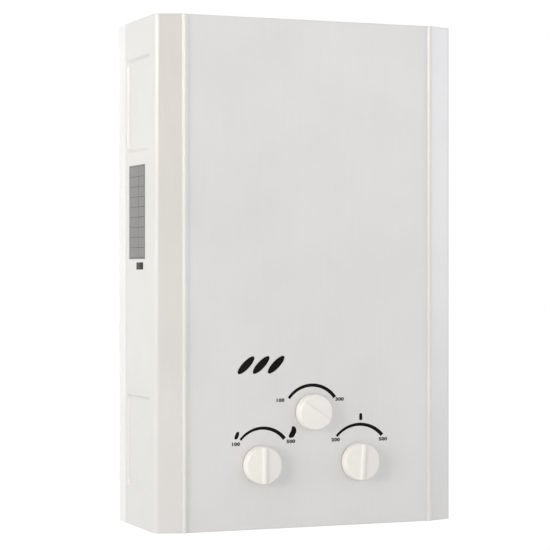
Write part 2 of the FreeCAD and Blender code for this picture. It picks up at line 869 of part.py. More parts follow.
def front_cover():
    """One pressed sheet: panel, beads, bevelled strips, bends, sides with recesses, and a top."""
    piece = Piece("front_cover")
    right = [("half_width", "cover_rear"), ("half_width", "bend_depth"),
             ("ridge_place + ridge_foot / 2", "bevel_foot_depth"),
             ("ridge_place + ridge_top / 2", "case_depth"),
             ("ridge_place - ridge_top / 2", "case_depth"),
             ("ridge_place - ridge_foot / 2", "panel_face")]
    left = [(f"-({x})", depth) for x, depth in reversed(right)]
    corners = [(x, back(depth)) for x, depth in right + left]
    piece.pad("XY", 0, [corners], "case_height")
    for spots, radius in (((1, -2), "bend_radius"), ((3, 4, -4, -5), "ridge_radius"),
                          ((2, 5, -3, -6), "foot_radius")):
        piece.round_edges(piece.edges("Z", [corners[spot] for spot in spots]), radius)
    rear = "cover_rear + recess_inset"
    for side in (-1, 1):
        for middle in ("recess_end", "case_height - recess_end"):
            recess = Rounded(back(f"{rear} + recess_length"), f"{middle} - recess_height / 2",
                             back(rear), f"{middle} + recess_height / 2", "recess_corner")
            piece.pocket("YZ", f"{side} * half_width", [recess], "recess_depth",
                         turned=side > 0, taper="-recess_angle")
    piece.shell(piece.faces("Y", ["-cover_rear"]), "cover_sheet")
    exhaust = plan("-exhaust_width / 2", "exhaust_width / 2", "hood_rear", "hood_front")
    piece.pocket("XY", "case_height", [exhaust], "cover_sheet", turned=True)
    inside = "half_width - return_width"
    service = plan(f"-({inside})", inside, "cover_rear", "panel_face - return_width")
    piece.pocket("XY", 0, [service], "cover_sheet")
    piece.pocket("XY", 0, screw_holes(), "cover_sheet")
    piece.pocket("XY", "case_height", screw_holes(), "cover_sheet", turned=True)
    hole = "hub_radius + hub_hole_gap"
    controls_at = [("-knob_spread", "knob_low"), ("season_place", "knob_high"), ("knob_spread", "knob_low")]
    piece.pocket("XZ", "panel_back", [Circle(x, z, hole) for x, z in controls_at], "cover_sheet")
    slots = []
    for step in (-1, 0, 1):
        ellipse = doc.addObject("Part::Ellipse", f"view_ellipse_{step + 2}")
        bind(ellipse, "MajorRadius", "slot_long / 2")
        bind(ellipse, "MinorRadius", "slot_short / 2")
        slot = doc.addObject("Part::Extrusion", f"view_slot_{step + 2}")
        slot.Base = ellipse
        slot.Solid = True
        slot.DirMode = "Custom"
        slot.Dir = FreeCAD.Vector(0, 0, 1)
        bind(slot, "LengthFwd", "2 * cover_sheet")
        lean = FreeCAD.Rotation(FreeCAD.Vector(0, 1, 0), -size("slot_angle"))
        slot.Placement.Rotation = lean * FreeCAD.Rotation(FreeCAD.Vector(1, 0, 0), 90)
        bind(slot, "Placement.Base.x", f"view_place + {step} * slot_pitch")
        bind(slot, "Placement.Base.y", "-(panel_back - cover_sheet / 2)")
        bind(slot, "Placement.Base.z", "view_height")
        slots.append(slot)
    Piece.made.remove(piece.body)
    piece.body.Label = "pressed_cover"
    Piece.made.append(cut("front_cover", piece.body, fuse("view_slots", slots)))


def cover_screws():
    """Four pan-head screws, up through the bottom returns and down through the top."""
    screws = []
    for side in (-1, 1):
        for low in (True, False):
            name = f"cover_screw_{'low' if low else 'high'}_{'left' if side < 0 else 'right'}"
            x = f"{side} * screw_place"
            y = back("cover_rear + screw_back")
            head_z = "-screw_head_height" if low else "case_height"
            shank_z = 0 if low else "case_height - screw_length"
            head = rod(f"{name}_head", "screw_head_radius", "screw_head_height", x, y, head_z)
            shank = rod(f"{name}_shank", "screw_radius", "screw_length", x, y, shank_z)
            screws.append(fuse(name, [head, shank]))
    group("cover_screws", screws)


def exhaust_grille():
    piece = Piece("exhaust_grille")
    margin = "exhaust_width / 2 + grille_margin"
    piece.pad("XY", "grille_low", [plan(f"-({margin})", margin, "hood_rear - grille_margin",
                                        "hood_front + grille_margin")], "hood_sheet")
    first = "-grille_pitch * (grille_slots - 1) / 2"
    opening = plan(f"{first} - grille_slot / 2", f"{first} + grille_slot / 2",
                   "hood_rear + grille_bar", "hood_front - grille_bar")
    slot = piece.pocket("XY", "grille_low", [opening], "hood_sheet")
    piece.row([slot], "grille_pitch", "grille_slots")


def base_panel():
    """The floor of the case, above the cover's lower edge, with its air slots and pipe holes."""
    piece = Piece("base_panel")
    side = "half_width - base_side_gap"
    front = "panel_back - base_front_gap"
    corners = [(side, "back_sheet"), (side, "bend_depth - base_side_gap - cover_sheet"),
               (f"{side} - base_bevel", front)]
    corners += [(f"-({x})", depth) for x, depth in reversed(corners)]
    piece.pad("XY", "base_height", [[(x, back(depth)) for x, depth in corners]], "base_sheet")
    end = f"{side} - base_flange_end"
    rear_flange = plan(f"-({end})", end, "back_sheet", "back_sheet + base_sheet")
    piece.pad("XY", "base_top", [rear_flange], "base_flange")
    end = f"{side} - base_bevel - base_flange_gap"
    front_flange = plan(f"-({end})", end, f"{front} - base_sheet", front)
    piece.pad("XY", "base_top", [front_flange], "base_flange")
    neck = "neck_radius + hole_gap"
    piece.pocket("XY", "base_height",
                 [Circle("-knob_spread", "-valve_depth", neck), Circle("knob_spread", "-valve_depth", neck),
                  Circle("hot_place", "-hot_depth", neck),
                  Circle("drain_place", "-valve_depth", "drain_hole_radius"),
                  plan("box_left + battery_wall", "box_right - battery_wall",
                       "battery_rear + battery_wall", "box_front - battery_wall")], "base_sheet")
    slots = [plan("air_slot_start", "air_slot_start + air_slot", start, f"{start} + air_slot_length")
             for start in ("air_slot_front", "air_slot_rear")]
    slot = piece.pocket("XY", "base_height", slots, "base_sheet")
    piece.row([slot], "air_slot_pitch", "air_slots")
    low = "hinge_height - hinge_radius"
    ear = rectangle(back("hinge_depth + hinge_radius"), low,
                    back("hinge_depth - hinge_radius"), "base_height")
    pin_hole = Circle(back("hinge_depth"), "hinge_height", "hinge_pin_radius + hinge_slack")
    for side in (-1, 1):
        start = f"battery_place + {side} * (door_half + hinge_ear) - hinge_ear / 2"
        piece.pad("YZ", start, [ear], "hinge_ear")
        piece.pocket("YZ", start, [pin_hole], "hinge_ear")


def data_plate():
    piece = Piece("data_plate")
    half = "plate_height / 2"
    outline = rectangle(back("plate_front"), f"plate_middle - {half}",
                        back("plate_front - plate_length"), f"plate_middle + {half}")
    piece.pad("YZ", "-half_width", [outline], "plate_sheet", turned=True)


def window():
    """A mica pane in a pressed frame, behind the slanted slots."""
    frame = Piece("window_frame")

    def ring(margin):
        wide = f"(pane_width / 2 + {margin})"
        tall = f"(pane_height / 2 + {margin})"
        return rectangle(f"view_place - {wide}", f"view_height - {tall}",
                         f"view_place + {wide}", f"view_height + {tall}")

    rear = "panel_back - pane_thick - frame_back"
    frame.pad("XZ", rear, [ring("frame_rim")], "pane_thick + frame_back")
    frame.pocket("XZ", "panel_back - pane_thick", [ring("frame_slack")], "pane_thick")
    frame.pocket("XZ", rear, [ring("-frame_lip")], "frame_back")
    pane = Piece("window_pane")
    pane.pad("XZ", "panel_back - pane_thick", [ring(0)], "pane_thick")


# ---------------------------------------------------------------- knobs and spindles

def knob(name, x, z, radius, angle=None):
    """A moulded knob: a deep hollow cap whose sunk face leaves a thin rim and a tapering grip across it."""
    piece = Piece(f"{name}_knob")
    front = "knob_rear + knob_skirt"
    face = f"{front} - knob_dish"
    roof = f"{face} - knob_web"
    edge = f"{radius} - knob_taper"
    crest = f"{front} + knob_crest"
    blade = [("-grip_foot", back(face)), ("grip_foot", back(face)), ("grip_crest", back(crest)),
             ("-grip_crest", back(crest))]
    piece.pad("XY", f"-({radius})", [blade], f"2 * {radius}")
    piece.pocket("XZ", face, [Circle(0, 0, f"2 * {radius}"), Circle(0, 0, f"{edge} - knob_taper")],
                 "knob_dish + knob_crest")
    profile = [(0, "hub_rear"), ("hub_radius", "hub_rear"), ("hub_radius", roof),
               (f"{edge} - knob_wall", roof),
               (f"{radius} - knob_wall", "knob_rear"), (radius, "knob_rear"), (edge, f"{front} - knob_taper"),
               (f"{edge} - knob_taper", front), (f"{edge} - knob_rim", front), (f"{edge} - knob_rim", face),
               (0, face)]
    piece.revolve([[(r, back(depth)) for r, depth in profile]], "V_Axis")
    piece.pocket("XZ", "hub_rear", [Circle(0, 0, "spindle_radius + spindle_slack")], "bore_depth")
    flat = "spindle_flat + spindle_slack"
    key = rectangle(flat, "-spindle_flat", "hub_radius - flat_margin", "spindle_flat")
    piece.pad("XZ", "hub_rear", [key], "bore_depth")
    piece.stand(x=x, z=z, angle=angle)


def spindle(name, x, z, rear, angle=None):
    """A round shaft with a flat along its front end."""
    piece = Piece(f"{name}_spindle")
    piece.pad("XZ", rear, [Circle(0, 0, "spindle_radius")], f"spindle_front - ({rear})")
    waste = rectangle("spindle_flat", "-spindle_radius", "spindle_radius + flat_margin", "spindle_radius")
    piece.pocket("XZ", "hub_rear - flat_margin", [waste], "spindle_front - hub_rear + flat_margin")
    piece.stand(x=x, z=z, angle=angle)


def controls():
    knob("gas", "-knob_spread", "knob_low", "knob_radius")
    knob("water", "knob_spread", "knob_low", "knob_radius", "water_angle")
    knob("season", "season_place", "knob_high", "season_knob_radius", "season_angle")
    deep = "boss_front - spindle_run"
    spindle("gas", "-knob_spread", "knob_low", deep)
    spindle("water", "knob_spread", "knob_low", deep, "water_angle")
    spindle("season", "season_place", "knob_high", "season_front - season_run", "season_angle")


# ---------------------------------------------------------------- valves

def gas_valve():
    piece = Piece("gas_valve_body")
    corners = plan("gas_valve_left", "gas_valve_right", "valve_rear", "valve_front")
    piece.pad("XY", "valve_low", [corners], "valve_high - valve_low")
    piece.round_edges(piece.edges("Z", corners), "valve_corner")
    piece.pad("XZ", "valve_front", [Circle("-knob_spread", "knob_low", "boss_radius")], "boss_length")
    x = "-knob_spread"
    y = back("valve_depth")
    piece.pad("XY", "neck_top", [Circle(x, y, "inlet_boss_radius")], "inlet_boss_length")
    piece.pad("XY", "valve_high", [Circle(x, y, "outlet_boss_radius")], "outlet_boss_length")
    piece.pad("YZ", "gas_valve_left", [Circle(y, "knob_low", "solenoid_flange_radius")], "solenoid_flange",
              turned=True)
    piece.pocket("XZ", "boss_front", [Circle(x, "knob_low", "spindle_radius + spindle_slack")],
                 "spindle_run + spindle_end_gap", turned=True)
    piece.pocket("XY", "neck_top", [Circle(x, y, "fitting_bore")], "channel_depth")
    piece.pocket("XY", "outlet_top", [Circle(x, y, "channel_radius")], "channel_depth", turned=True)
    piece.pocket("YZ", "gas_valve_right", [Circle(y, "knob_low", "rod_radius + bore_slack")],
                 "gas_valve_right - rod_tip + rod_travel + rod_end_gap", turned=True)
    plunger = Circle(y, "knob_low", "plunger_radius + plunger_slack")
    piece.pocket("YZ", "gas_valve_left - solenoid_flange", [plunger],
                 "solenoid_flange + plunger_seat")


def water_valve():
    """Cast body with the inlet below, the flow spindle in front and the diaphragm housing on the left."""
    piece = Piece("water_valve_body")
    right = "knob_spread + water_valve_right"
    corners = plan("housing_face + housing_thick", right, "valve_rear", "valve_front")
    piece.pad("XY", "valve_low", [corners], "valve_high - valve_low")
    piece.round_edges(piece.edges("Z", corners), "valve_corner")
    reach = "(drain_boss_radius + drain_ear_margin)"
    ear = plan(f"{right} - valve_corner", f"drain_place + {reach}", f"valve_depth - {reach}",
               f"valve_depth + {reach}")
    piece.pad("XY", "valve_low", [ear], "drain_ear_high - valve_low")
    x = "knob_spread"
    y = back("valve_depth")
    outlet = "knob_spread + water_outlet_place"
    drain_seat = "valve_low - drain_boss_length"
    piece.pad("XZ", "valve_front", [Circle(x, "knob_low", "boss_radius")], "boss_length")
    piece.pad("XY", "neck_top", [Circle(x, y, "inlet_boss_radius")], "inlet_boss_length")
    piece.pad("XY", "valve_high", [Circle(outlet, y, "outlet_boss_radius")], "outlet_boss_length")
    piece.pad("YZ", "housing_face", [Circle(y, "knob_low", "housing_radius")], "housing_thick")
    piece.pad("XY", drain_seat, [Circle("drain_place", y, "drain_boss_radius")], "drain_boss_length")
    piece.pocket("XZ", "boss_front", [Circle(x, "knob_low", "spindle_radius + spindle_slack")],
                 "spindle_run + spindle_end_gap", turned=True)
    piece.pocket("XY", "neck_top", [Circle(x, y, "fitting_bore")], "channel_depth")
    piece.pocket("XY", "outlet_top", [Circle(outlet, y, "channel_radius")], "channel_depth", turned=True)
    piece.pocket("YZ", "housing_face", [Circle(y, "knob_low", "chamber_radius")], "chamber_depth")
    piece.pocket("XY", drain_seat, [Circle("drain_place", y, "drain_bore")], "channel_depth")
    holes = [Circle(spot_y, spot_z, "housing_screw_radius + bore_slack")
             for spot_y, spot_z in housing_screw_spots()]
    piece.pocket("YZ", "housing_face", holes, "housing_screw_grip")


def housing_screw_spots():
    """The screws of the diaphragm housing, evenly round its middle."""
    count = int(size("housing_screws"))
    turn = "360 / housing_screws"
    return [(f"-valve_depth + housing_screw_circle * cos({turn} * ({step} + 0.5))",
             f"knob_low + housing_screw_circle * sin({turn} * ({step} + 0.5))") for step in range(count)]


def diaphragm_set():
    """The rubber diaphragm, clamped by its domed cover, and the cover's screws."""
    disc = Piece("diaphragm")
    disc.pad("YZ", "diaphragm_face", [Circle("-valve_depth", "knob_low", "diaphragm_radius")],
             "diaphragm_thick")
    cover = Piece("diaphragm_cover")
    inner = "diaphragm_radius + bore_slack"
    profile = [("rod_radius + bore_slack", "dome_end"), ("dome_radius - dome_roof", "dome_end"),
               ("dome_radius", "dome_end + dome_roof"),
               ("dome_radius", "housing_face - dome_flange"), ("housing_radius", "housing_face - dome_flange"),
               ("housing_radius", "housing_face"), (inner, "housing_face"), (inner, "diaphragm_face"),
               ("dome_radius - dome_wall", "diaphragm_face"),
               ("dome_radius - dome_wall", "dome_end + dome_roof"),
               ("rod_radius + bore_slack", "dome_end + dome_roof")]
    cover.revolve([[(x, r) for r, x in profile]], "H_Axis")
    cover.stand(y="-valve_depth", z="knob_low")
    holes = [Circle(f"{y} + valve_depth", f"{z} - knob_low", "housing_screw_radius + bore_slack")
             for y, z in housing_screw_spots()]
    cover.pocket("YZ", "housing_face - dome_flange", holes, "dome_flange")
    screws = []
    for number, (y, z) in enumerate(housing_screw_spots(), start=1):
        head_x = "housing_face - dome_flange - housing_screw_head_thick"
        screw = Piece(f"housing_screw_{number}")
        screw.pad("YZ", head_x, [hexagon(y, z, "housing_screw_head")], "housing_screw_head_thick")
        screw.pad("YZ", "housing_face - dome_flange", [Circle(y, z, "housing_screw_radius")],
                  "dome_flange + housing_screw_grip - housing_screw_gap")
        Piece.made.remove(screw.body)
        screws.append(screw.body)
    group("diaphragm_screws", screws)


def push_rod():
    """The rod that the diaphragm pushes: a plate, a collar for the spring, and the gas valve's tip."""
    piece = Piece("push_rod")
    face = "diaphragm_face"
    profile = [("rod_tip", 0), ("rod_tip + rod_chamfer", "rod_radius"), ("collar_face", "rod_radius"),
               ("collar_face", "collar_radius"), ("collar_face + collar_thick", "collar_radius"),
               ("collar_face + collar_thick", "rod_radius"), (f"{face} - rod_plate_thick", "rod_radius"),
               (f"{face} - rod_plate_thick", "rod_plate_radius"), (face, "rod_plate_radius"), (face, 0)]
    piece.revolve([profile], "H_Axis")
    piece.stand(y="-valve_depth", z="knob_low")


def return_spring():
    """A square-wire compression spring between the gas valve and the rod's collar."""
    start = size("gas_valve_right")
    length = size("collar_face - gas_valve_right")
    wire = size("spring_wire")
    radius = size("spring_radius")
    turns = size("spring_turns")
    helix = Part.makeHelix((length - wire) / turns, length - wire, radius)
    half = wire / 2
    corners = [FreeCAD.Vector(radius + a * half, 0, b * half) for a, b in ((-1, -1), (1, -1), (1, 1), (-1, 1))]
    section = Part.makePolygon(corners + corners[:1])
    coil = Part.Wire(helix.Edges).makePipeShell([section], True, True)
    spring = doc.addObject("Part::Feature", "return_spring")
    spring.Label = "return_spring"
    spring.Shape = coil
    spring.Placement = FreeCAD.Placement(FreeCAD.Vector(start + half, -size("valve_depth"), size("knob_low")),
                                         FreeCAD.Rotation(FreeCAD.Vector(0, 1, 0), 90))
    Piece.made.append(spring)


def microswitch():
    """The switch that starts the sparks, its lever on the rod's collar, and its bracket."""
    body = Piece("microswitch")
    body.pad("XZ", "switch_rear", [rectangle("switch_left", "switch_low", "switch_right", "switch_high")],
             "switch_thick")
    body.pad("XZ", "switch_front", [Circle("lever_pivot", "lever_pivot_height", "lever_pin_radius")],
             "lever_gap + lever_thick + lever_pin_end")
    bracket = Piece("switch_bracket")
    sheet_end = "switch_high + switch_sheet"
    foot = "valve_high - bracket_foot"
    outline = [("gas_valve_right", foot), ("gas_valve_right + switch_sheet", foot),
               ("gas_valve_right + switch_sheet", "switch_high"), ("switch_right", "switch_high"),
               ("switch_right", sheet_end), ("gas_valve_right", sheet_end)]
    bracket.pad("XZ", "switch_rear", [outline], "switch_thick")
    lever = Piece("switch_lever")
    right = "collar_face - lever_seat_gap"
    left = f"{right} - lever_width"
    top = "lever_pivot_height + lever_head"
    front = "switch_front + lever_gap"
    shape = [(left, "lever_end"), (right, "lever_end"), (right, top), ("lever_pivot - lever_head", top),
             ("lever_pivot - lever_head", "lever_pivot_height - lever_head"),
             (left, "lever_pivot_height - lever_neck")]
    lever.pad("XZ", front, [shape], "lever_thick")
    lever.pocket("XZ", front, [Circle("lever_pivot", "lever_pivot_height", "lever_pin_radius + hinge_slack")],
                 "lever_thick")


def solenoid():
    body = Piece("solenoid_body")
    right = "gas_valve_left - solenoid_flange"
    body.pad("YZ", right, [Circle("-valve_depth", "knob_low", "solenoid_radius")], "solenoid_length",
             turned=True)
    body.pad("YZ", f"{right} - solenoid_wall", [Circle("-valve_depth", "knob_low", "solenoid_flange_radius")],
             "solenoid_wall")
    body.pocket("YZ", right, [Circle("-valve_depth", "knob_low", "plunger_radius + plunger_slack")],
                "solenoid_length - solenoid_wall", turned=True)
    plunger = rod("solenoid_plunger", "plunger_radius", "plunger_length",
                  "gas_valve_left + plunger_seat - plunger_length", "-valve_depth", "knob_low", along="X")
    Piece.made.append(plunger)


# ---------------------------------------------------------------- fittings below the base

def fitting(name, x, depth, filtered=False):
    """A threaded stub under the base panel: thread, hexagon, and a neck up through the panel."""
    piece = Piece(name)
    y = back(depth)
    thread_end = "thread_start + thread_length"
    piece.pad("XY", "thread_start", [Circle(x, y, "thread_radius")], "thread_length")
    rim = piece.add("Chamfer")
    base = [f for f in piece.body.Group if f.isDerivedFrom("PartDesign::Pad")][-1]
    doc.recompute()
    low = [f"Edge{number}" for number, edge in enumerate(base.Shape.Edges, start=1)
           if len(edge.Vertexes) == 1 and abs(edge.BoundBox.ZMax - size("thread_start")) < 0.001]
    rim.Base = (base, low)
    bind(rim, "Size", "thread_chamfer")
    piece.body.Tip = rim
    piece.pad("XY", thread_end, [hexagon(x, y, "nut_radius")], f"base_height - ({thread_end})")
    piece.pad("XY", "base_height", [Circle(x, y, "neck_radius")], "neck_top - base_height")
    piece.pocket("XY", "thread_start", [Circle(x, y, "fitting_bore")], "neck_top - thread_start")
    if filtered:
        piece.pocket("XY", "thread_start", [Circle(x, y, "filter_bore")], "filter_seat")


def fittings():
    fitting("gas_inlet", "-knob_spread", "valve_depth")
    fitting("cold_inlet", "knob_spread", "valve_depth", filtered=True)
    fitting("hot_outlet", "hot_place", "hot_depth")
    cup = Piece("inlet_filter")
    x = "knob_spread"
    y = back("valve_depth")
    low = "thread_start + filter_seat - filter_wall"
    cup.pad("XY", low, [Circle(x, y, "filter_bore - filter_slack")], "filter_wall")
    cup.pad("XY", low, [Circle(x, y, "fitting_bore - filter_slack")], "filter_length")
    inside = Circle(x, y, "fitting_bore - filter_slack - filter_wall")
    cup.pocket("XY", low, [inside], "filter_length - filter_wall")
    plug = Piece("drain_plug")
    x = "drain_place"
    seat = "valve_low - drain_boss_length"
    plug.pad("XY", seat, [Circle(x, y, "drain_bore - drain_slack")], "channel_depth - drain_end_gap")
    plug.pad("XY", f"{seat} - drain_flange", [Circle(x, y, "drain_flange_radius")], "drain_flange")
    plug.pad("XY", "drain_grip_high", [Circle(x, y, "drain_stem")], f"{seat} - drain_flange - drain_grip_high")
    grip = plan(f"{x} - drain_grip_width / 2", f"{x} + drain_grip_width / 2",
                "valve_depth - drain_grip_thick / 2", "valve_depth + drain_grip_thick / 2")
    plug.pad("XY", "drain_grip_low", [grip], "drain_grip_high - drain_grip_low")


# ---------------------------------------------------------------- burner

def burner_frame():
    piece = Piece("burner_frame")
    piece.pad("XY", "burner_low", [plan("-chamber_half", "chamber_half", "chamber_rear", "chamber_front")],
              "burner_high - burner_low")
    piece.shell(piece.faces("Z", ["burner_low", "burner_high"]), "burner_sheet")
    mouth = "blade_pitch * (blades - 1) / 2 + blade_thick"
    piece.pocket("XZ", "chamber_front", [
        rectangle(f"-({mouth})", "mouth_low", mouth, "mouth_high"),
        rectangle("view_place - pane_width / 2 + frame_lip", "mouth_high + view_web",
                  "view_place + pane_width / 2 - frame_lip", "blade_high - view_drop"),
        rectangle("electrode_place - electrode_plate_width / 2 + electrode_window",
                  "electrode_height - electrode_plate_height / 2 + electrode_window",
                  "electrode_place + electrode_plate_width / 2 - electrode_window",
                  "electrode_height + electrode_plate_height / 2 - electrode_window")],
        "burner_sheet", turned=True)


def burner_blades():
    """Flat blades side by side, each with a mouth for its injector and ports along its top."""
    piece = Piece("burner_blades")
    rear = "chamber_rear + burner_sheet"
    front = "chamber_front - burner_sheet"
    side = [(rear, "blade_low + blade_cut"), (f"{rear} + throat_length", "blade_low"),
            (f"{front} - throat_length", "blade_low"), (front, "mouth_low"), (front, "mouth_high"),
            (f"{front} - throat_length", "gill_low"), (f"{front} - throat_length", "gill_high"),
            (front, "gill_high + gill_tall"), (front, "blade_high"), (rear, "blade_high")]
    first = "-blade_pitch * (blades - 1) / 2"
    outline = [(back(depth), z) for depth, z in side]
    blade = piece.pad("YZ", f"{first} - blade_thick / 2", [outline], "blade_thick")
    ports = []
    for step in range(int(size("port_count"))):
        start = f"({rear} + {front} - port_length) / 2 + port_pitch * ({step} - (port_count - 1) / 2)"
        ports.append(plan(f"{first} - blade_thick / 2 + port_wall", f"{first} + blade_thick / 2 - port_wall",
                          start, f"{start} + port_length"))
    slots = piece.pocket("XY", "blade_high", ports, "port_depth", turned=True)
    mouth = rectangle(f"{first} - blade_thick / 2 + port_wall", "mouth_low + throat_wall",
                      f"{first} + blade_thick / 2 - port_wall", "mouth_high - throat_wall")
    throat = piece.pocket("XZ", front, [mouth], "throat_length", turned=True)
    for original in (blade, slots, throat):
        original.Refine = False
    piece.row([blade, slots, throat], "blade_pitch", "blades")


def gas_manifold():
    piece = Piece("gas_manifold")
    piece.pad("XY", "manifold_low", [plan("-manifold_half", "manifold_half", "manifold_rear", "manifold_front")],
              "manifold_high - manifold_low")
    leg = plan("-knob_spread - manifold_leg_half", "-knob_spread + manifold_leg_half", "manifold_rear",
               "manifold_front")
    piece.pad("XY", "manifold_leg_low", [leg], "manifold_low - manifold_leg_low")
    lugs = []
    for side in (-1, 1):
        ends = sorted((f"{side} * manifold_half", f"{side} * (manifold_half - manifold_lug)"), key=size)
        lugs.append(plan(*ends, "chamber_front", "manifold_rear"))
    piece.pad("XY", "manifold_low", lugs, "manifold_high - manifold_low")
    middle_z = "(manifold_low + manifold_high) / 2"
    middle_y = back("(manifold_rear + manifold_front) / 2")
    piece.pocket("YZ", "-manifold_half", [Circle(middle_y, middle_z, "manifold_channel")],
                 "2 * manifold_half - manifold_end")
    piece.pocket("XY", "manifold_leg_low + manifold_floor", [Circle("-knob_spread", middle_y, "leg_channel")],
                 f"{middle_z} - manifold_leg_low - manifold_floor")


def injectors():
    """One hexagonal injector per blade, screwed into the back of the manifold."""
    nozzles = []
    for step in range(int(size("blades"))):
        x = f"blade_pitch * ({step} - (blades - 1) / 2)"
        z = "(manifold_low + manifold_high) / 2"
        nozzle = Piece(f"injector_{step + 1}")
        nozzle.pad("XZ", "manifold_rear", [hexagon(x, z, "injector_radius")], "injector_hex", turned=True)
        nozzle.pad("XZ", "manifold_rear - injector_hex", [hexagon(x, z, "injector_tip_radius")],
                   "injector_tip", turned=True)
        Piece.made.remove(nozzle.body)
        nozzles.append(nozzle.body)
    group("injectors", nozzles)


def season_valve():
    piece = Piece("season_valve_body")
    corners = plan("season_place - season_half", "season_place + season_half", "season_rear", "manifold_front")
    piece.pad("XY", "season_low", [corners], "manifold_low - season_low")
    piece.round_edges(piece.edges("Z", corners), "valve_corner / 2")
    piece.pad("XZ", "manifold_front", [Circle("season_place", "knob_high", "boss_radius")], "season_boss")
    bore = Circle("season_place", "knob_high", "spindle_radius + spindle_slack")
    piece.pocket("XZ", "season_front", [bore], "season_run + spindle_end_gap", turned=True)


def gas_feed_pipe():
    x = size("-knob_spread")
    z = size("feed_height")
    points = [FreeCAD.Vector(x, -size("valve_depth"), size("outlet_top")),
              FreeCAD.Vector(x, -size("valve_depth"), z), FreeCAD.Vector(x, -size("manifold_rear"), z)]
    pipe("gas_feed_pipe", points, size("feed_bend"), size("feed_radius"))


# ---------------------------------------------------------------- water way and flue

def chamber_shell():
    piece = Piece("chamber_shell")
    corners = plan("-chamber_half", "chamber_half", "chamber_rear", "chamber_front")
    piece.pad("XY", "burner_high", [corners], "chamber_high - burner_high")
    piece.round_edges(piece.edges("Z", corners), "chamber_corner")
    piece.shell(piece.faces("Z", ["burner_high", "chamber_high"]), "chamber_sheet")


def water_pipes():
    """The riser from the water valve, the coil round the chamber, and the pipe to the hot outlet."""
    x = size("riser_place")
    outlet = size("knob_spread + water_outlet_place")
    middle = -size("valve_depth")
    turn = size("riser_turn")
    riser = [FreeCAD.Vector(outlet, middle, size("outlet_top")), FreeCAD.Vector(outlet, middle, turn),
             FreeCAD.Vector(x, middle, turn), FreeCAD.Vector(x, middle, size("riser_top"))]
    pipe("cold_riser", riser, size("pipe_bend"), size("pipe_radius"))
    rear = -size("coil_rear")
    front = -size("tube_front")
    level = size("coil_height")
    coil = [riser[-1], FreeCAD.Vector(x, middle, level), FreeCAD.Vector(x, rear, level),
            FreeCAD.Vector(-x, rear, level), FreeCAD.Vector(-x, front, level),
            FreeCAD.Vector(-x, front, size("header_low"))]
    pipe("chamber_coil", coil, size("pipe_bend"), size("pipe_radius"))
    hot = rod("hot_pipe", "hot_pipe_radius", "header_low - neck_top", "hot_place", "-hot_depth", "neck_top")
    Piece.made.append(hot)


def heat_exchanger():
    """Copper fins on two tubes in a casing, with a return bend on the right and headers on the left."""
    casing = Piece("exchanger_casing")
    corners = plan("-chamber_half", "chamber_half", "chamber_rear", "chamber_front")
    casing.pad("XY", "chamber_high", [corners], "exchanger_high - chamber_high")
    casing.round_edges(casing.edges("Z", corners), "chamber_corner")
    casing.shell(casing.faces("Z", ["chamber_high", "exchanger_high"]), "chamber_sheet")
    ends = [Circle(back(depth), "tube_height", "tube_radius + tube_slack")
            for depth in ("tube_rear", "tube_front")]
    casing.pocket("YZ", "-chamber_half", ends, "2 * chamber_half")
    fins = Piece("exchanger_fins")
    start = "-fin_pitch * (fins - 1) / 2"
    plate = rectangle(back("chamber_front - chamber_sheet"), "chamber_high + fin_margin",
                      back("chamber_rear + chamber_sheet"), "exchanger_high - fin_margin")
    fin = fins.pad("YZ", f"{start} - fin_thick / 2", [plate] + ends, "fin_thick")
    fins.row([fin], "fin_pitch", "fins")
    bend = size("tube_front - tube_rear") / 2
    left = -size("chamber_half")
    right = size("chamber_half") + bend
    z = size("tube_height")
    rear = -size("tube_rear")
    front = -size("tube_front")
    points = [FreeCAD.Vector(left, front, z), FreeCAD.Vector(right, front, z),
              FreeCAD.Vector(right, rear, z), FreeCAD.Vector(left, rear, z)]
    pipe("exchanger_tube", points, bend, size("tube_radius"))
    headers = []
    for name, depth, reach in (("cold_header", "tube_front", "header_reach"),
                               ("hot_header", "tube_rear", "hot_header_reach")):
        header = Piece(name)
        Piece.made.remove(header.body)
        headers.append(header.body)
        block = plan(f"-chamber_half - {reach}", "-chamber_half", f"{depth} - header_half",
                     f"{depth} + header_half")
        header.pad("XY", "header_low", [block], "2 * header_half")
        header.round_edges(header.edges("Z", [block[0], block[3]]), "header_corner")
    group("exchanger_headers", headers)
    sensor = Piece("overheat_sensor")
    seat = "hot_depth + header_half"
    sensor.pad("XZ", seat, [Circle("hot_place", "tube_height", "sensor_radius")], "sensor_step")
    sensor.pad("XZ", f"{seat} + sensor_step", [Circle("hot_place", "tube_height", "sensor_radius - sensor_step")],
               "sensor_thick - sensor_step")


def draft_hood():
    """A tapering collector over the exchanger, and a neck up to the grille."""
    piece = Piece("draft_hood")
    foot = [plan(f"-(chamber_half - {wall})", f"chamber_half - {wall}", f"chamber_rear + {wall}",
                 f"chamber_front - {wall}") for wall in ("0", "hood_sheet")]
    neck = [plan(f"-(exhaust_width / 2 - {wall})", f"exhaust_width / 2 - {wall}", f"hood_rear + {wall}",
                 f"hood_front - {wall}") for wall in ("0", "hood_sheet")]
    piece.loft("XY", ("exchanger_high", foot), ("hood_shoulder", neck))
    piece.pad("XY", "hood_shoulder", neck, "grille_low - hood_shoulder")


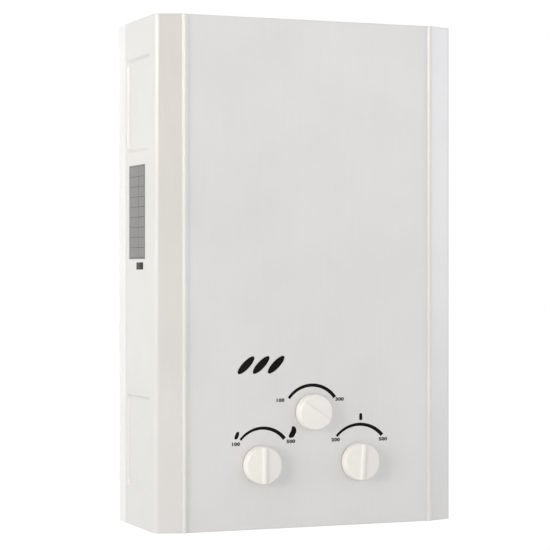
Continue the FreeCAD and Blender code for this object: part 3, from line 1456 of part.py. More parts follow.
def rear_brackets():
    """Channels that carry the chamber and the burner frame on the back panel."""
    brackets = []
    for side in (-1, 1):
        for level in ("low", "high"):
            name = f"bracket_{level}_{'left' if side < 0 else 'right'}"
            bracket = Piece(name)
            left = f"{side} * bracket_place - bracket_width / 2"
            right = f"{side} * bracket_place + bracket_width / 2"
            web = "back_sheet + bracket_sheet"
            outline = [(left, "back_sheet"), (right, "back_sheet"), (right, "chamber_rear"),
                       (f"{right} - bracket_sheet", "chamber_rear"), (f"{right} - bracket_sheet", web),
                       (f"{left} + bracket_sheet", web), (f"{left} + bracket_sheet", "chamber_rear"),
                       (left, "chamber_rear")]
            bracket.pad("XY", f"bracket_{level}", [[(x, back(depth)) for x, depth in outline]], "bracket_tall")
            Piece.made.remove(bracket.body)
            brackets.append(bracket.body)
    group("rear_brackets", brackets)


# ---------------------------------------------------------------- ignition

def ignition():
    """Spark and flame electrodes on a plate in front of the burner, and the spark module."""
    plate = Piece("electrode_bracket")
    spots = [f"electrode_place + {side} * electrode_pitch / 2" for side in (-1, 1)]
    half_width = "electrode_plate_width / 2"
    half_height = "electrode_plate_height / 2"
    plate.pad("XZ", "chamber_front", [
        rectangle(f"electrode_place - {half_width}", f"electrode_height - {half_height}",
                  f"electrode_place + {half_width}", f"electrode_height + {half_height}")]
        + [Circle(x, "electrode_height", "electrode_radius + bore_slack") for x in spots], "electrode_plate_sheet")
    insulators = []
    wires = []
    for number, x in enumerate(spots, start=1):
        insulator = Piece(f"insulator_{number}")
        rear = "electrode_front - electrode_length"
        ends = [Circle(x, "electrode_height", radius)
                for radius in ("electrode_radius", "electrode_wire + bore_slack")]
        insulator.pad("XZ", rear, ends, "electrode_length")
        Piece.made.remove(insulator.body)
        insulators.append(insulator.body)
        wires.append(rod(f"electrode_{number}", "electrode_wire", "electrode_length + electrode_reach",
                         x, back(f"{rear} - electrode_reach"), "electrode_height", along="Y"))
    group("electrode_insulators", insulators)
    group("electrode_wires", wires)
    module = Piece("igniter_module")
    corners = plan("module_left", "module_left + module_width", "back_sheet", "module_depth")
    module.pad("XY", "module_low", [corners], "module_height")
    module.round_edges(module.edges("Z", [corners[0], corners[1]]), "module_corner")
    start = vector(spots[1], "-electrode_front", "electrode_height")
    middle = "module_left + module_width / 2"
    points = [start, vector(spots[1], "-lead_front", "electrode_height"),
              vector(middle, "-lead_front", "electrode_height"),
              vector(middle, "-module_depth", "electrode_height")]
    pipe("ignition_lead", points, size("lead_bend"), size("lead_radius"))


# ---------------------------------------------------------------- battery box

def battery():
    """A box for two D cells, open below, with a contact strip over them."""
    box = Piece("battery_box")
    outline = plan("box_left", "box_right", "battery_rear", "box_front")
    box.pad("XY", "base_top", [outline], "battery_high - base_top")
    box.shell(box.faces("Z", ["base_top"]), "battery_wall")
    rim = plan("box_left - battery_rim", "box_right + battery_rim", "battery_rear - battery_rim",
               "box_front + battery_rim")
    seam = plan("box_left + battery_wall / 2", "box_right - battery_wall / 2", "battery_rear + battery_wall / 2",
                "box_front - battery_wall / 2")
    box.pad("XY", "base_top", [rim, seam], "battery_wall")
    cells = []
    for side in (-1, 1):
        y = back(f"(battery_rear + box_front) / 2 + {side} * cell_pitch / 2")
        name = f"cell_{'rear' if side < 0 else 'front'}"
        can = rod(f"{name}_can", "cell_radius", "cell_height", "battery_place", y, "cell_low")
        nub = rod(f"{name}_nub", "nub_radius", "nub_height", "battery_place", y, "cell_low + cell_height")
        cells.append(fuse(name, [can, nub]))
    group("battery_cells", cells)
    strip = Piece("battery_contact")
    top = "cell_low + cell_height + nub_height"
    strip_plan = plan("battery_place - nub_radius", "battery_place + nub_radius", "battery_rear + battery_wall",
                      "box_front - battery_wall")
    strip.pad("XY", top, [strip_plan], f"battery_high - battery_wall - ({top})")


def battery_door():
    """The door under the battery box, on its pin, with the spring strip that presses on the cells."""
    door = Piece("battery_door")
    left = "battery_place - door_half"
    inner_front = "box_front - battery_wall"
    front = f"{inner_front} + door_margin"
    leaf = plan(left, "battery_place + door_half", "hinge_depth + hinge_radius / 2", front)
    door.pad("XY", "base_height - door_thick", [leaf], "door_thick")
    pivot = (back("hinge_depth"), "hinge_height")
    door.pad("YZ", left, [Circle(*pivot, "hinge_radius")], "2 * door_half")
    door.pocket("YZ", left, [Circle(*pivot, "hinge_pin_radius + hinge_slack")], "2 * door_half")
    latch_front = f"{inner_front} - latch_gap"
    latch_left = "battery_place - latch_width / 2"
    latch_right = "battery_place + latch_width / 2"
    latch = plan(latch_left, latch_right, f"{latch_front} - latch_thick", latch_front)
    door.pad("XY", "base_height", [latch], "latch_height")
    rib = plan(latch_left, latch_right, f"{front} - latch_rib_place", f"{front} - latch_rib_place + latch_rib")
    door.pad("XY", "base_height - door_thick - latch_rib_rise", [rib], "latch_rib_rise")

    spring = Piece("door_contact")
    strip = plan("battery_place - nub_radius", "battery_place + nub_radius",
                 "battery_rear + battery_wall + cell_radius / 2", f"{inner_front} - cell_radius / 2")
    spring.pad("XY", "base_height", [strip], "contact_sheet")
    for side in (-1, 1):
        middle = f"(battery_rear + box_front) / 2 + {side} * cell_pitch / 2"
        foot = "base_height + contact_sheet"
        tongue = [(f"{middle} - leaf_foot", foot), (f"{middle} - leaf_foot + contact_sheet", foot),
                  (f"{middle} + contact_sheet", "cell_low - contact_sheet"),
                  (f"{middle} + leaf_tip", "cell_low - contact_sheet"), (f"{middle} + leaf_tip", "cell_low"),
                  (middle, "cell_low")]
        outline = [(back(depth), z) for depth, z in tongue]
        spring.pad("YZ", "battery_place - nub_radius", [outline], "2 * nub_radius")

    reach = "door_half + 1.5 * hinge_ear"
    pin = rod("door_hinge_pin", "hinge_pin_radius", f"2 * ({reach})", f"battery_place - ({reach})",
              back("hinge_depth"), "hinge_height", along="X")
    Piece.made.append(pin)


back_panel()
front_cover()
cover_screws()
exhaust_grille()
base_panel()
data_plate()
window()
controls()
gas_valve()
water_valve()
diaphragm_set()
push_rod()
return_spring()
microswitch()
solenoid()
fittings()
burner_frame()
burner_blades()
gas_manifold()
injectors()
season_valve()
gas_feed_pipe()
chamber_shell()
water_pipes()
heat_exchanger()
draft_hood()
rear_brackets()
ignition()
battery()
battery_door()
doc.recompute()

# Every object is checked before anything is written.
for thing in doc.Objects:
    if {"Invalid", "Error"} & set(thing.State):
        raise RuntimeError(f"{thing.Label} failed: {thing.State}")
for thing in Piece.made:
    if thing.Shape.isNull() or not thing.Shape.isValid() or not thing.Shape.Solids:
        raise RuntimeError(f"{thing.Label} has no valid solid")
os.makedirs("parts", exist_ok=True)
for thing in Piece.made:
    thing.Shape.exportStep(f"parts/{thing.Label}.step")
print(f"{len(Piece.made)} pieces")
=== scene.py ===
import json
import math

import bmesh
import bpy
from mathutils import Matrix, Vector


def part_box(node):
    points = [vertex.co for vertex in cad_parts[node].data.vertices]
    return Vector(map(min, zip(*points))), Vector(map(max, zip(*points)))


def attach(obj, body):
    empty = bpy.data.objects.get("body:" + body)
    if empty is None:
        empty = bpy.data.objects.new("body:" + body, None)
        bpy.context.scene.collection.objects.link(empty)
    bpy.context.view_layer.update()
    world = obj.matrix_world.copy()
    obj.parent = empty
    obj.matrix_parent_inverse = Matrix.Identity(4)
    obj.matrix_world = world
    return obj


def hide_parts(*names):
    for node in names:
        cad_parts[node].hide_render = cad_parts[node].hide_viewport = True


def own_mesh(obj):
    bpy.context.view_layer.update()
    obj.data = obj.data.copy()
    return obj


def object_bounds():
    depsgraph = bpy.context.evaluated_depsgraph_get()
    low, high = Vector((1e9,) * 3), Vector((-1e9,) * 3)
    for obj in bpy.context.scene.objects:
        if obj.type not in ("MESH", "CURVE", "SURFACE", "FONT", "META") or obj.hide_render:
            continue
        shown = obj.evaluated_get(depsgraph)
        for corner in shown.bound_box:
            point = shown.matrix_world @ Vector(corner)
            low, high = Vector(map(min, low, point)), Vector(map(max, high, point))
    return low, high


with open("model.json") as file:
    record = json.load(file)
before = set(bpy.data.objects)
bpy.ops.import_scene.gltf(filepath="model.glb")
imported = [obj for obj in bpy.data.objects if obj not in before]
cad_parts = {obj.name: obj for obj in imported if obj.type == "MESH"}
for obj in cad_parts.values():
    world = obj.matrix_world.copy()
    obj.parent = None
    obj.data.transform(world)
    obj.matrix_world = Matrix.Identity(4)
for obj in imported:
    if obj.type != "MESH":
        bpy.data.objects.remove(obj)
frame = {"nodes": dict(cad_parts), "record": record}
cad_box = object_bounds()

MM = 0.001
NODES = frame["nodes"]

# Places on the case, read from the frame. The panel lies behind the tops of its two ridges.
COVER_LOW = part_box("front_cover")[0]
PLATE_LOW, PLATE_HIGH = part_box("data_plate")
RIDGE_RISE = 2.5 * MM
PRINT_LIFT = 0.06 * MM
PRINT_Y = COVER_LOW.y + RIDGE_RISE - PRINT_LIFT

# The photograph's camera, in the part's frame: metres, radians, and pixels of the 550 pixel frame.
CAMERA_PLACE = Vector((-0.791, -2.002, 0.260))
CAMERA_YAW = math.radians(21.84)
FRAME_PIXELS = 550
FOCAL_PIXELS = 1983.4
HORIZON_PIXEL = 273.5
SENSOR = 36.0


# ---------------------------------------------------------------- materials

CLOUD_SCALE = 14
CLOUD_SHADE = (0.97, 0.97, 0.97)
CLOUD_CHANGE = 0.02
COAT_ROUGHNESS = 0.15
CELL_BAND = 0.72
BEVEL_SAMPLES = 4
NOISE_LOW, NOISE_HIGH = 0.3, 0.7
SHARP_ANGLE = math.radians(32)


def shader(name):
    """A new node material, as (material, tree, principled shader)."""
    made = bpy.data.materials.new(name)
    made.use_nodes = True
    tree = made.node_tree
    return made, tree, tree.nodes["Principled BSDF"]


def noise(tree, scale, stretch=(1, 1, 1), detail=3.0):
    """Noise in the object's own metres, stretched along the axes."""
    place = tree.nodes.new("ShaderNodeTexCoord")
    mapping = tree.nodes.new("ShaderNodeMapping")
    mapping.inputs["Scale"].default_value = [scale * s for s in stretch]
    pattern = tree.nodes.new("ShaderNodeTexNoise")
    pattern.inputs["Scale"].default_value = 1.0
    pattern.inputs["Detail"].default_value = detail
    tree.links.new(place.outputs["Object"], mapping.inputs["Vector"])
    tree.links.new(mapping.outputs["Vector"], pattern.inputs["Vector"])
    return pattern.outputs["Fac"]


def spread(tree, factor, low, high):
    """Maps a noise to a range of values."""
    ranged = tree.nodes.new("ShaderNodeMapRange")
    ranged.inputs["From Min"].default_value = NOISE_LOW
    ranged.inputs["From Max"].default_value = NOISE_HIGH
    ranged.inputs["To Min"].default_value = low
    ranged.inputs["To Max"].default_value = high
    tree.links.new(factor, ranged.inputs["Value"])
    return ranged.outputs["Result"]


def tint(tree, factor, colour, change):
    """Two shades of one colour, mixed by a noise."""
    ramp = tree.nodes.new("ShaderNodeValToRGB")
    for element, place, gain in ((ramp.color_ramp.elements[0], NOISE_LOW, 1 - change),
                                 (ramp.color_ramp.elements[1], NOISE_HIGH, 1 + change)):
        element.position = place
        element.color = [min(1.0, channel * gain) for channel in colour] + [1]
    tree.links.new(factor, ramp.inputs["Fac"])
    return ramp.outputs["Color"]


def bump(tree, factor, depth, strength, normal=None):
    """A bump of a real depth in metres."""
    bumped = tree.nodes.new("ShaderNodeBump")
    bumped.inputs["Distance"].default_value = depth
    bumped.inputs["Strength"].default_value = strength
    tree.links.new(factor, bumped.inputs["Height"])
    if normal:
        tree.links.new(normal, bumped.inputs["Normal"])
    return bumped.outputs["Normal"]


def soft_edges(tree, radius):
    """Rounds the look of hard edges."""
    bevel = tree.nodes.new("ShaderNodeBevel")
    bevel.samples = BEVEL_SAMPLES
    bevel.inputs["Radius"].default_value = radius
    return bevel.outputs["Normal"]


def finish(name, colour, metallic=0.0, roughness=(0.4, 0.5), scale=400, stretch=(1, 1, 1), change=0.03,
           depth=0.02 * MM, strength=0.3, edge=0.3 * MM, coat=0.0):
    """A surface whose colour, roughness and relief follow one grain, with faint clouds in its colour."""
    made, tree, surface = shader(name)
    grain = noise(tree, scale, stretch)
    cloud = noise(tree, CLOUD_SCALE, detail=2.0)
    surface.inputs["Metallic"].default_value = metallic
    surface.inputs["Coat Weight"].default_value = coat
    surface.inputs["Coat Roughness"].default_value = COAT_ROUGHNESS
    shade = tree.nodes.new("ShaderNodeMix")
    shade.data_type = "RGBA"
    shade.blend_type = "MULTIPLY"
    shade.inputs["Factor"].default_value = 1.0
    tree.links.new(tint(tree, grain, colour, change), shade.inputs["A"])
    tree.links.new(tint(tree, cloud, CLOUD_SHADE, CLOUD_CHANGE), shade.inputs["B"])
    tree.links.new(shade.outputs["Result"], surface.inputs["Base Color"])
    tree.links.new(spread(tree, grain, *roughness), surface.inputs["Roughness"])
    normal = soft_edges(tree, edge) if edge else None
    tree.links.new(bump(tree, grain, depth, strength, normal), surface.inputs["Normal"])
    return made


def brushed_steel():
    """Satin stainless sheet with a fine upright grain."""
    made = finish("brushed_stainless", (0.77, 0.768, 0.766), metallic=0.45, roughness=(0.34, 0.42),
                  scale=1500, stretch=(1, 1, 0.012), change=0.015, depth=0.006 * MM, strength=0.25,
                  edge=1.5 * MM)
    made.node_tree.nodes["Principled BSDF"].inputs["Anisotropic"].default_value = 0.4
    return made


def black_pane_painted_shade():
    """A near-black opaque pane behind the viewing slots; its black is painted shade for the dark inside of
    the heater.
    """
    made, tree, surface = shader("pane_painted_shade")
    smudge = noise(tree, scale=60, detail=4.0)
    tree.links.new(tint(tree, smudge, (0.006, 0.006, 0.007), 0.3), surface.inputs["Base Color"])
    tree.links.new(spread(tree, smudge, 0.25, 0.4), surface.inputs["Roughness"])
    surface.inputs["Specular IOR Level"].default_value = 0.08
    return made


def wrapped_cell():
    """A plain wrapped D cell: dark below, with a lighter band round its top."""
    made, tree, surface = shader("cell_wrap")
    place = tree.nodes.new("ShaderNodeTexCoord")
    parts = tree.nodes.new("ShaderNodeSeparateXYZ")
    band = tree.nodes.new("ShaderNodeValToRGB")
    band.color_ramp.interpolation = "CONSTANT"
    low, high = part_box("battery_cells")
    band.color_ramp.elements[0].color = (0.05, 0.07, 0.11, 1)
    band.color_ramp.elements[1].position = CELL_BAND
    band.color_ramp.elements[1].color = (0.55, 0.46, 0.30, 1)
    height = tree.nodes.new("ShaderNodeMapRange")
    height.inputs["From Min"].default_value = low.z
    height.inputs["From Max"].default_value = high.z
    tree.links.new(place.outputs["Object"], parts.inputs["Vector"])
    tree.links.new(parts.outputs["Z"], height.inputs["Value"])
    tree.links.new(height.outputs["Result"], band.inputs["Fac"])
    tree.links.new(band.outputs["Color"], surface.inputs["Base Color"])
    tree.links.new(spread(tree, noise(tree, scale=500), 0.28, 0.36), surface.inputs["Roughness"])
    return made


FINISHES = {
    "stainless": brushed_steel(),
    "coated_steel": finish("coated_steel", (0.72, 0.725, 0.735), roughness=(0.34, 0.42), scale=900,
                           change=0.01, strength=0.15),
    "galvanised": finish("galvanised_sheet", (0.62, 0.63, 0.645), metallic=0.8, roughness=(0.38, 0.52),
                         scale=130, change=0.10, strength=0.08),
    "plate_grey": finish("plate_foil", (0.22, 0.222, 0.225), metallic=0.2, roughness=(0.42, 0.5), scale=700,
                         change=0.05, edge=0.1 * MM),
    "ivory_plastic": finish("ivory_plastic", (0.81, 0.80, 0.782), roughness=(0.28, 0.34), scale=1100,
                            change=0.012, depth=0.01 * MM, strength=0.12, edge=0.35 * MM, coat=0.15),
    "black_plastic": finish("black_plastic", (0.022, 0.022, 0.024), roughness=(0.4, 0.52), scale=900,
                            change=0.15),
    "grey_plastic": finish("grey_plastic", (0.55, 0.55, 0.53), roughness=(0.4, 0.5), scale=900, change=0.03),
    # The viewing pane's black is painted shade for the heater's dark inside.
    "dark_glass": black_pane_painted_shade(),
    "copper": finish("tinned_copper", (0.62, 0.36, 0.25), metallic=0.9, roughness=(0.28, 0.46), scale=70,
                     change=0.16, strength=0.1),
    "brass": finish("brass", (0.62, 0.47, 0.20), metallic=1.0, roughness=(0.24, 0.34), scale=500, change=0.05,
                    strength=0.12),
    "die_cast": finish("die_cast", (0.50, 0.50, 0.495), metallic=0.7, roughness=(0.42, 0.58), scale=650,
                       change=0.10, depth=0.05 * MM, strength=0.5),
    "steel": finish("bright_steel", (0.52, 0.52, 0.53), metallic=1.0, roughness=(0.26, 0.36), scale=600,
                    change=0.05, strength=0.12),
    "screw_steel": finish("nickel_plate", (0.66, 0.655, 0.64), metallic=1.0, roughness=(0.2, 0.3), scale=700,
                          change=0.04, strength=0.1, edge=0.15 * MM),
    "rubber": finish("rubber", (0.02, 0.02, 0.02), roughness=(0.6, 0.75), scale=800, change=0.2),
    "ceramic": finish("ceramic", (0.84, 0.83, 0.79), roughness=(0.15, 0.22), scale=500, change=0.02,
                      strength=0.1, coat=0.4),
    "lead_red": finish("lead_red", (0.42, 0.035, 0.025), roughness=(0.38, 0.48), scale=600, change=0.08),
    "cell_wrap": wrapped_cell(),
}
INK = finish("black_ink", (0.004, 0.004, 0.004), roughness=(0.5, 0.6), scale=900, change=0.2, edge=0)
INK.node_tree.nodes["Principled BSDF"].inputs["Specular IOR Level"].default_value = 0.1
INK_GREY = finish("grey_ink", (0.03, 0.03, 0.031), roughness=(0.5, 0.6), scale=900, change=0.1, edge=0)


def smoothing():
    """A node group that shades faces smooth, except across sharp edges."""
    group = bpy.data.node_groups.new("smooth_by_angle", "GeometryNodeTree")
    group.interface.new_socket("Geometry", in_out="INPUT", socket_type="NodeSocketGeometry")
    group.interface.new_socket("Geometry", in_out="OUTPUT", socket_type="NodeSocketGeometry")
    start = group.nodes.new("NodeGroupInput")
    end = group.nodes.new("NodeGroupOutput")
    faces = group.nodes.new("GeometryNodeSetShadeSmooth")
    edges = group.nodes.new("GeometryNodeSetShadeSmooth")
    edges.domain = "EDGE"
    edges.inputs["Shade Smooth"].default_value = False
    angle = group.nodes.new("GeometryNodeInputMeshEdgeAngle")
    sharp = group.nodes.new("FunctionNodeCompare")
    sharp.operation = "GREATER_THAN"
    sharp.inputs["B"].default_value = SHARP_ANGLE
    group.links.new(start.outputs[0], faces.inputs["Geometry"])
    group.links.new(faces.outputs["Geometry"], edges.inputs["Geometry"])
    group.links.new(angle.outputs["Unsigned Angle"], sharp.inputs["A"])
    group.links.new(sharp.outputs["Result"], edges.inputs["Selection"])
    group.links.new(edges.outputs["Geometry"], end.inputs[0])
    return group


def dress_nodes():
    """Gives every carried-over piece its finish, and shades its curved faces smooth."""
    group = smoothing()
    for part in frame["record"]["subparts"]:
        node = NODES[part["node"]]
        node.data.materials.clear()
        node.data.materials.append(FINISHES[part["material_slot"]])
        node.modifiers.new("smooth", "NODES").node_group = group
        weighted = node.modifiers.new("weighted_normals", "WEIGHTED_NORMAL")
        weighted.keep_sharp = True


# ---------------------------------------------------------------- meshes

LARGEST_CUT = 0.45


def piece(name, mesh_data, body, material, smooth_below=30):
    """Adds a mesh to the scene, on a body, with a finish and smooth faces below an angle in degrees."""
    mesh = bpy.data.meshes.new(name)
    mesh_data.normal_update()
    mesh_data.to_mesh(mesh)
    mesh_data.free()
    mesh.materials.append(material)
    mesh.shade_smooth()
    mesh.set_sharp_from_angle(angle=math.radians(smooth_below))
    made = bpy.data.objects.new(name, mesh)
    bpy.context.scene.collection.objects.link(made)
    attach(made, body)
    return made


def rounded(points, radius, steps=4):
    """An open polyline with its inner corners rounded."""
    points = [Vector(p) for p in points]
    route = [points[0]]
    for before, corner, after in zip(points, points[1:], points[2:]):
        reach = min(radius, LARGEST_CUT * (corner - before).length, LARGEST_CUT * (after - corner).length)
        start = corner + (before - corner).normalized() * reach
        end = corner + (after - corner).normalized() * reach
        for step in range(steps + 1):
            t = step / steps
            route.append(start * (1 - t) ** 2 + corner * 2 * t * (1 - t) + end * t ** 2)
    route.append(points[-1])
    return route


def circle(segments):
    """The cosine and sine of evenly spaced angles."""
    angles = [2 * math.pi * step / segments for step in range(segments)]
    return [(math.cos(angle), math.sin(angle)) for angle in angles]


def lathe(shape, profile, centre, segments=96):
    """Turns a profile of (radius, distance in front of the centre), which starts and ends on the Y axis."""
    rings = []
    for radius, front in profile:
        spots = circle(segments) if radius else [(0, 0)]
        rings.append([shape.verts.new(centre + Vector((radius * x, -front, radius * z))) for x, z in spots])
    for lower, upper in zip(rings, rings[1:]):
        for step in range(segments):
            after = (step + 1) % segments
            corners = [lower[step % len(lower)], lower[after % len(lower)],
                       upper[after % len(upper)], upper[step % len(upper)]]
            shape.faces.new(list(dict.fromkeys(corners)))


# ---------------------------------------------------------------- knobs

KNOB_REACH = 13.5 * MM
TAPER = 0.5 * MM
EDGE_ROUND = 0.6 * MM
CREST = 3 * MM
KNOB_WALL = 1.8 * MM
KNOB_WEB = 2.5 * MM
HUB = 6 * MM
SPINDLE_BORE = 4.05 * MM
SUNK = 0.3 * MM
# The gabled front across its crest: distance from the crest and height over the rim, in millimetres.
GABLE = ((0, 3.0), (0.9, 2.94), (1.6, 2.7), (2.2, 2.2), (2.7, 1.72), (3.3, 1.46), (4.6, 1.3), (7, 1.06),
         (10, 0.78), (13, 0.5), (16, 0.25))
GABLE_EDGE = 0.985
# Along its crest: share of the half length, and share of that height. The ends are rounded down to the rim.
GABLE_ENDS = ((-1, 0), (-1, 0.65), (-0.985, 0.85), (-0.965, 0.95), (-0.93, 1), (0, 1),
              (0.93, 1), (0.965, 0.95), (0.985, 0.85), (1, 0.65), (1, 0))
MERGE = 1e-7


def gable(shape, centre, radius, turn):
    """A knob's front, sunk a little into it: two faces that fall away from a raised crest to the rim."""
    half = [(x * MM, height * MM) for x, height in GABLE] + [(radius * GABLE_EDGE, 0)]
    across = [(-x, height) for x, height in reversed(half[1:])] + half
    rings = []
    for end, share in GABLE_ENDS:
        top, under = [], []
        for x, height in across:
            along = end * math.sqrt(radius ** 2 - x ** 2)
            top.append(shape.verts.new(centre + turn @ Vector((x, -height * share, along))))
            under.append(shape.verts.new(centre + turn @ Vector((x, SUNK, along))))
        rings.append(top + under[::-1])
    count = 2 * len(across)
    for low, high in zip(rings, rings[1:]):
        for i in range(count):
            after = (i + 1) % count
            shape.faces.new((low[i], low[after], high[after], high[i]))
    for ring in (rings[0], rings[-1]):
        for i in range(len(across) - 1):
            shape.faces.new((ring[i], ring[i + 1], ring[count - 2 - i], ring[count - 1 - i]))


def knob(node, body, angle):
    """A moulded knob in place of the plain one: the same size, with rounded edges and a gabled front."""
    low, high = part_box(node)
    centre = Vector(((low.x + high.x) / 2, 0, (low.z + high.z) / 2))
    radius = (high.x - low.x) / 2
    rim = -low.y - CREST
    rear = -low.y - KNOB_REACH
    roof = rim - KNOB_WEB
    shape = bmesh.new()
    outline = rounded([(radius - KNOB_WALL, rear, 0), (radius, rear, 0), (radius - TAPER, rim - TAPER, 0),
                       (radius - 3 * TAPER, rim, 0), (0, rim, 0)], EDGE_ROUND)
    inside = [(0, roof), (SPINDLE_BORE, roof), (SPINDLE_BORE, -high.y), (HUB, -high.y), (HUB, roof),
              (radius - KNOB_WALL - TAPER, roof)]
    lathe(shape, inside + [(point.x, point.y) for point in outline], centre)
    turn = Matrix.Rotation(math.radians(angle), 3, "Y")
    gable(shape, centre + Vector((0, -rim, 0)), radius - 2 * TAPER, turn)
    bmesh.ops.remove_doubles(shape, verts=shape.verts, dist=MERGE)
    bmesh.ops.recalc_face_normals(shape, faces=shape.faces)
    made = piece(f"{node}_moulded", shape, body, FINISHES["ivory_plastic"], smooth_below=35)
    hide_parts(node)


# ---------------------------------------------------------------- pipe threads

THREAD_PITCH = 1.814 * MM
THREAD_DEPTH = 1.1 * MM
THREAD_LENGTH = 15 * MM
THREAD_RADIUS = 10.48 * MM
THREAD_CHAMFER = 1.2 * MM
THREAD_RUNOUT = 1.5 * MM
THREAD_SAMPLES = 72
THREAD_FLANK = 1.2
THREAD_CREST = 0.1
NUT_TOP = 24 * MM
NUT_FLAT = 13.5 * MM
NUT_LEDGE = 0.9 * MM
NUT_INSET = 0.2 * MM
NUT_RECESS = 1 * MM
NUT_EDGE = 0.1 * MM
NUT_CHAMFER_SHARE = 0.55
NECK = 9 * MM
BORE = 6.5 * MM
FILTER_BORE = 8 * MM
FILTER_SEAT = 4 * MM


def turned(shape, centre, rows, segments=72):
    """A closed ring of surface about an upright axis. A row is a height and a radius at each angle."""
    rings = []
    for height, radius in rows:
        reaches = [radius(2 * math.pi * step / segments) for step in range(segments)]
        rings.append([shape.verts.new((centre.x + reach * x, centre.y + reach * y, height))
                      for reach, (x, y) in zip(reaches, circle(segments))])
    for lower, upper in zip(rings, rings[1:] + rings[:1]):
        for step in range(segments):
            after = (step + 1) % segments
            shape.faces.new((lower[step], lower[after], upper[after], upper[step]))


def plain(radius):
    """A row that is round."""
    return lambda angle: radius


def threaded(node, wide_bore=BORE):
    """A bored pipe stub in place of the plain one: a cut thread, a chamfered hexagon and a neck."""
    low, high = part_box(node)
    centre = Vector(((low.x + high.x) / 2, (low.y + high.y) / 2, 0))
    thread_top = low.z + THREAD_LENGTH

    def groove(height):
        def radius(angle):
            phase = ((height - low.z) / THREAD_PITCH - angle / (2 * math.pi)) % 1
            cut = THREAD_DEPTH * min(1.0, max(0.0, THREAD_FLANK * abs(2 * phase - 1) - THREAD_CREST))
            chamfer = THREAD_RADIUS - THREAD_CHAMFER + (height - low.z)
            runout = THREAD_RADIUS - THREAD_DEPTH if height > thread_top - THREAD_RUNOUT else THREAD_RADIUS
            return min(THREAD_RADIUS - cut, chamfer, runout)
        return radius

    def hexagon(limit):
        def radius(angle):
            turn = (angle + math.pi / 6) % (math.pi / 3) - math.pi / 6
            return min(NUT_FLAT / math.cos(math.pi / 6 - abs(turn)), limit)
        return radius

    heights = [low.z + THREAD_LENGTH * step / THREAD_SAMPLES for step in range(THREAD_SAMPLES + 1)]
    corner = (high.x - low.x) / 2
    rows = [(low.z + FILTER_SEAT, plain(wide_bore)), (low.z, plain(wide_bore))]
    rows += [(height, groove(height)) for height in heights]
    rows += [(thread_top, plain(NUT_FLAT - NUT_RECESS)), (thread_top, hexagon(NUT_FLAT - NUT_INSET)),
             (thread_top + NUT_LEDGE / 2, hexagon(NUT_FLAT + (corner - NUT_FLAT) * NUT_CHAMFER_SHARE)),
             (thread_top + NUT_LEDGE, hexagon(corner)), (NUT_TOP - NUT_EDGE, hexagon(corner)),
             (NUT_TOP, plain(NECK)), (high.z, plain(NECK)), (high.z, plain(BORE))]
    if wide_bore > BORE:
        rows.append((low.z + FILTER_SEAT, plain(BORE)))
    shape = bmesh.new()
    turned(shape, centre, rows)
    bmesh.ops.recalc_face_normals(shape, faces=shape.faces)
    made = piece(f"{node}_threaded", shape, "heater", FINISHES["brass"], smooth_below=40)
    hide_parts(node)


# ---------------------------------------------------------------- return spring and cover screws

WIRE_RADIUS = 0.5 * MM
CLOSE_PITCH = 1.04 * 2 * WIRE_RADIUS
COIL_TURNS = 7
TURN_STEPS = 32
WIRE_SIDES = 10
SCREW_HEAD = 3.5 * MM
SCREW_RISE = 1.6 * MM
SCREW_RINGS = (1, 0.98, 0.92, 0.8, 0.68, 0.56, 0.46, 0.36, 0.27, 0.18, 0.09)
SCREW_SEGMENTS = 64
CROSS_WIDTH = 0.84 * MM
CROSS_DEPTH = 1.0 * MM
CROSS_REACH = 0.6 * SCREW_HEAD
SCREW_SHOULDER = 0.55


def coil_spring():
    """The rod's return spring: round wire with closed end coils."""
    low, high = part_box("return_spring")
    middle = (low + high) / 2
    radius = (high.z - low.z) / 2 - WIRE_RADIUS
    length = high.x - low.x
    open_pitch = (length - 2 * WIRE_RADIUS - 2 * CLOSE_PITCH) / (COIL_TURNS - 2)
    shape = bmesh.new()
    rings = []
    for step in range(COIL_TURNS * TURN_STEPS + 1):
        turn = step / TURN_STEPS
        closed = min(turn, 1) + max(0, turn - (COIL_TURNS - 1))
        along = closed * CLOSE_PITCH + (turn - closed) * open_pitch
        out = Vector((0, math.cos(2 * math.pi * turn), math.sin(2 * math.pi * turn)))
        heart = Vector((low.x + WIRE_RADIUS + along, middle.y, middle.z)) + out * radius
        rings.append([shape.verts.new(heart + WIRE_RADIUS * (out * outward + Vector((sideways, 0, 0))))
                      for outward, sideways in circle(WIRE_SIDES)])
    for before, after in zip(rings, rings[1:]):
        for corner in range(WIRE_SIDES):
            beside = (corner + 1) % WIRE_SIDES
            shape.faces.new([before[corner], before[beside], after[beside], after[corner]])
    shape.faces.new(rings[0][::-1])
    shape.faces.new(rings[-1])
    bmesh.ops.recalc_face_normals(shape, faces=shape.faces)
    made = piece("coil_spring", shape, "heater", FINISHES["steel"], smooth_below=60)
    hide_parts("return_spring")
    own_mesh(made)


def screw_head(shape, x, y, seat, up):
    """A pan head with a cross recess, on the seat's outer side: up is 1 or -1."""
    spots = circle(SCREW_SEGMENTS)
    rings = [[shape.verts.new((x + SCREW_HEAD * across, y + SCREW_HEAD * back, seat))
              for across, back in spots]]
    for share in SCREW_RINGS:
        radius = SCREW_HEAD * share
        dome = SCREW_RISE * (SCREW_SHOULDER + (1 - SCREW_SHOULDER) * math.sqrt(1 - share ** 4))
        ring = []
        for across, back in spots:
            in_cross = radius < CROSS_REACH and radius * min(abs(across), abs(back)) < CROSS_WIDTH / 2
            rise = dome - (CROSS_DEPTH if in_cross else 0)
            ring.append(shape.verts.new((x + radius * across, y + radius * back, seat + up * rise)))
        rings.append(ring)
    for outer, inner in zip(rings, rings[1:]):
        for step in range(SCREW_SEGMENTS):
            after = (step + 1) % SCREW_SEGMENTS
            shape.faces.new((outer[step], outer[after], inner[after], inner[step]))
    shape.faces.new(rings[-1])
    shape.faces.new(rings[0])


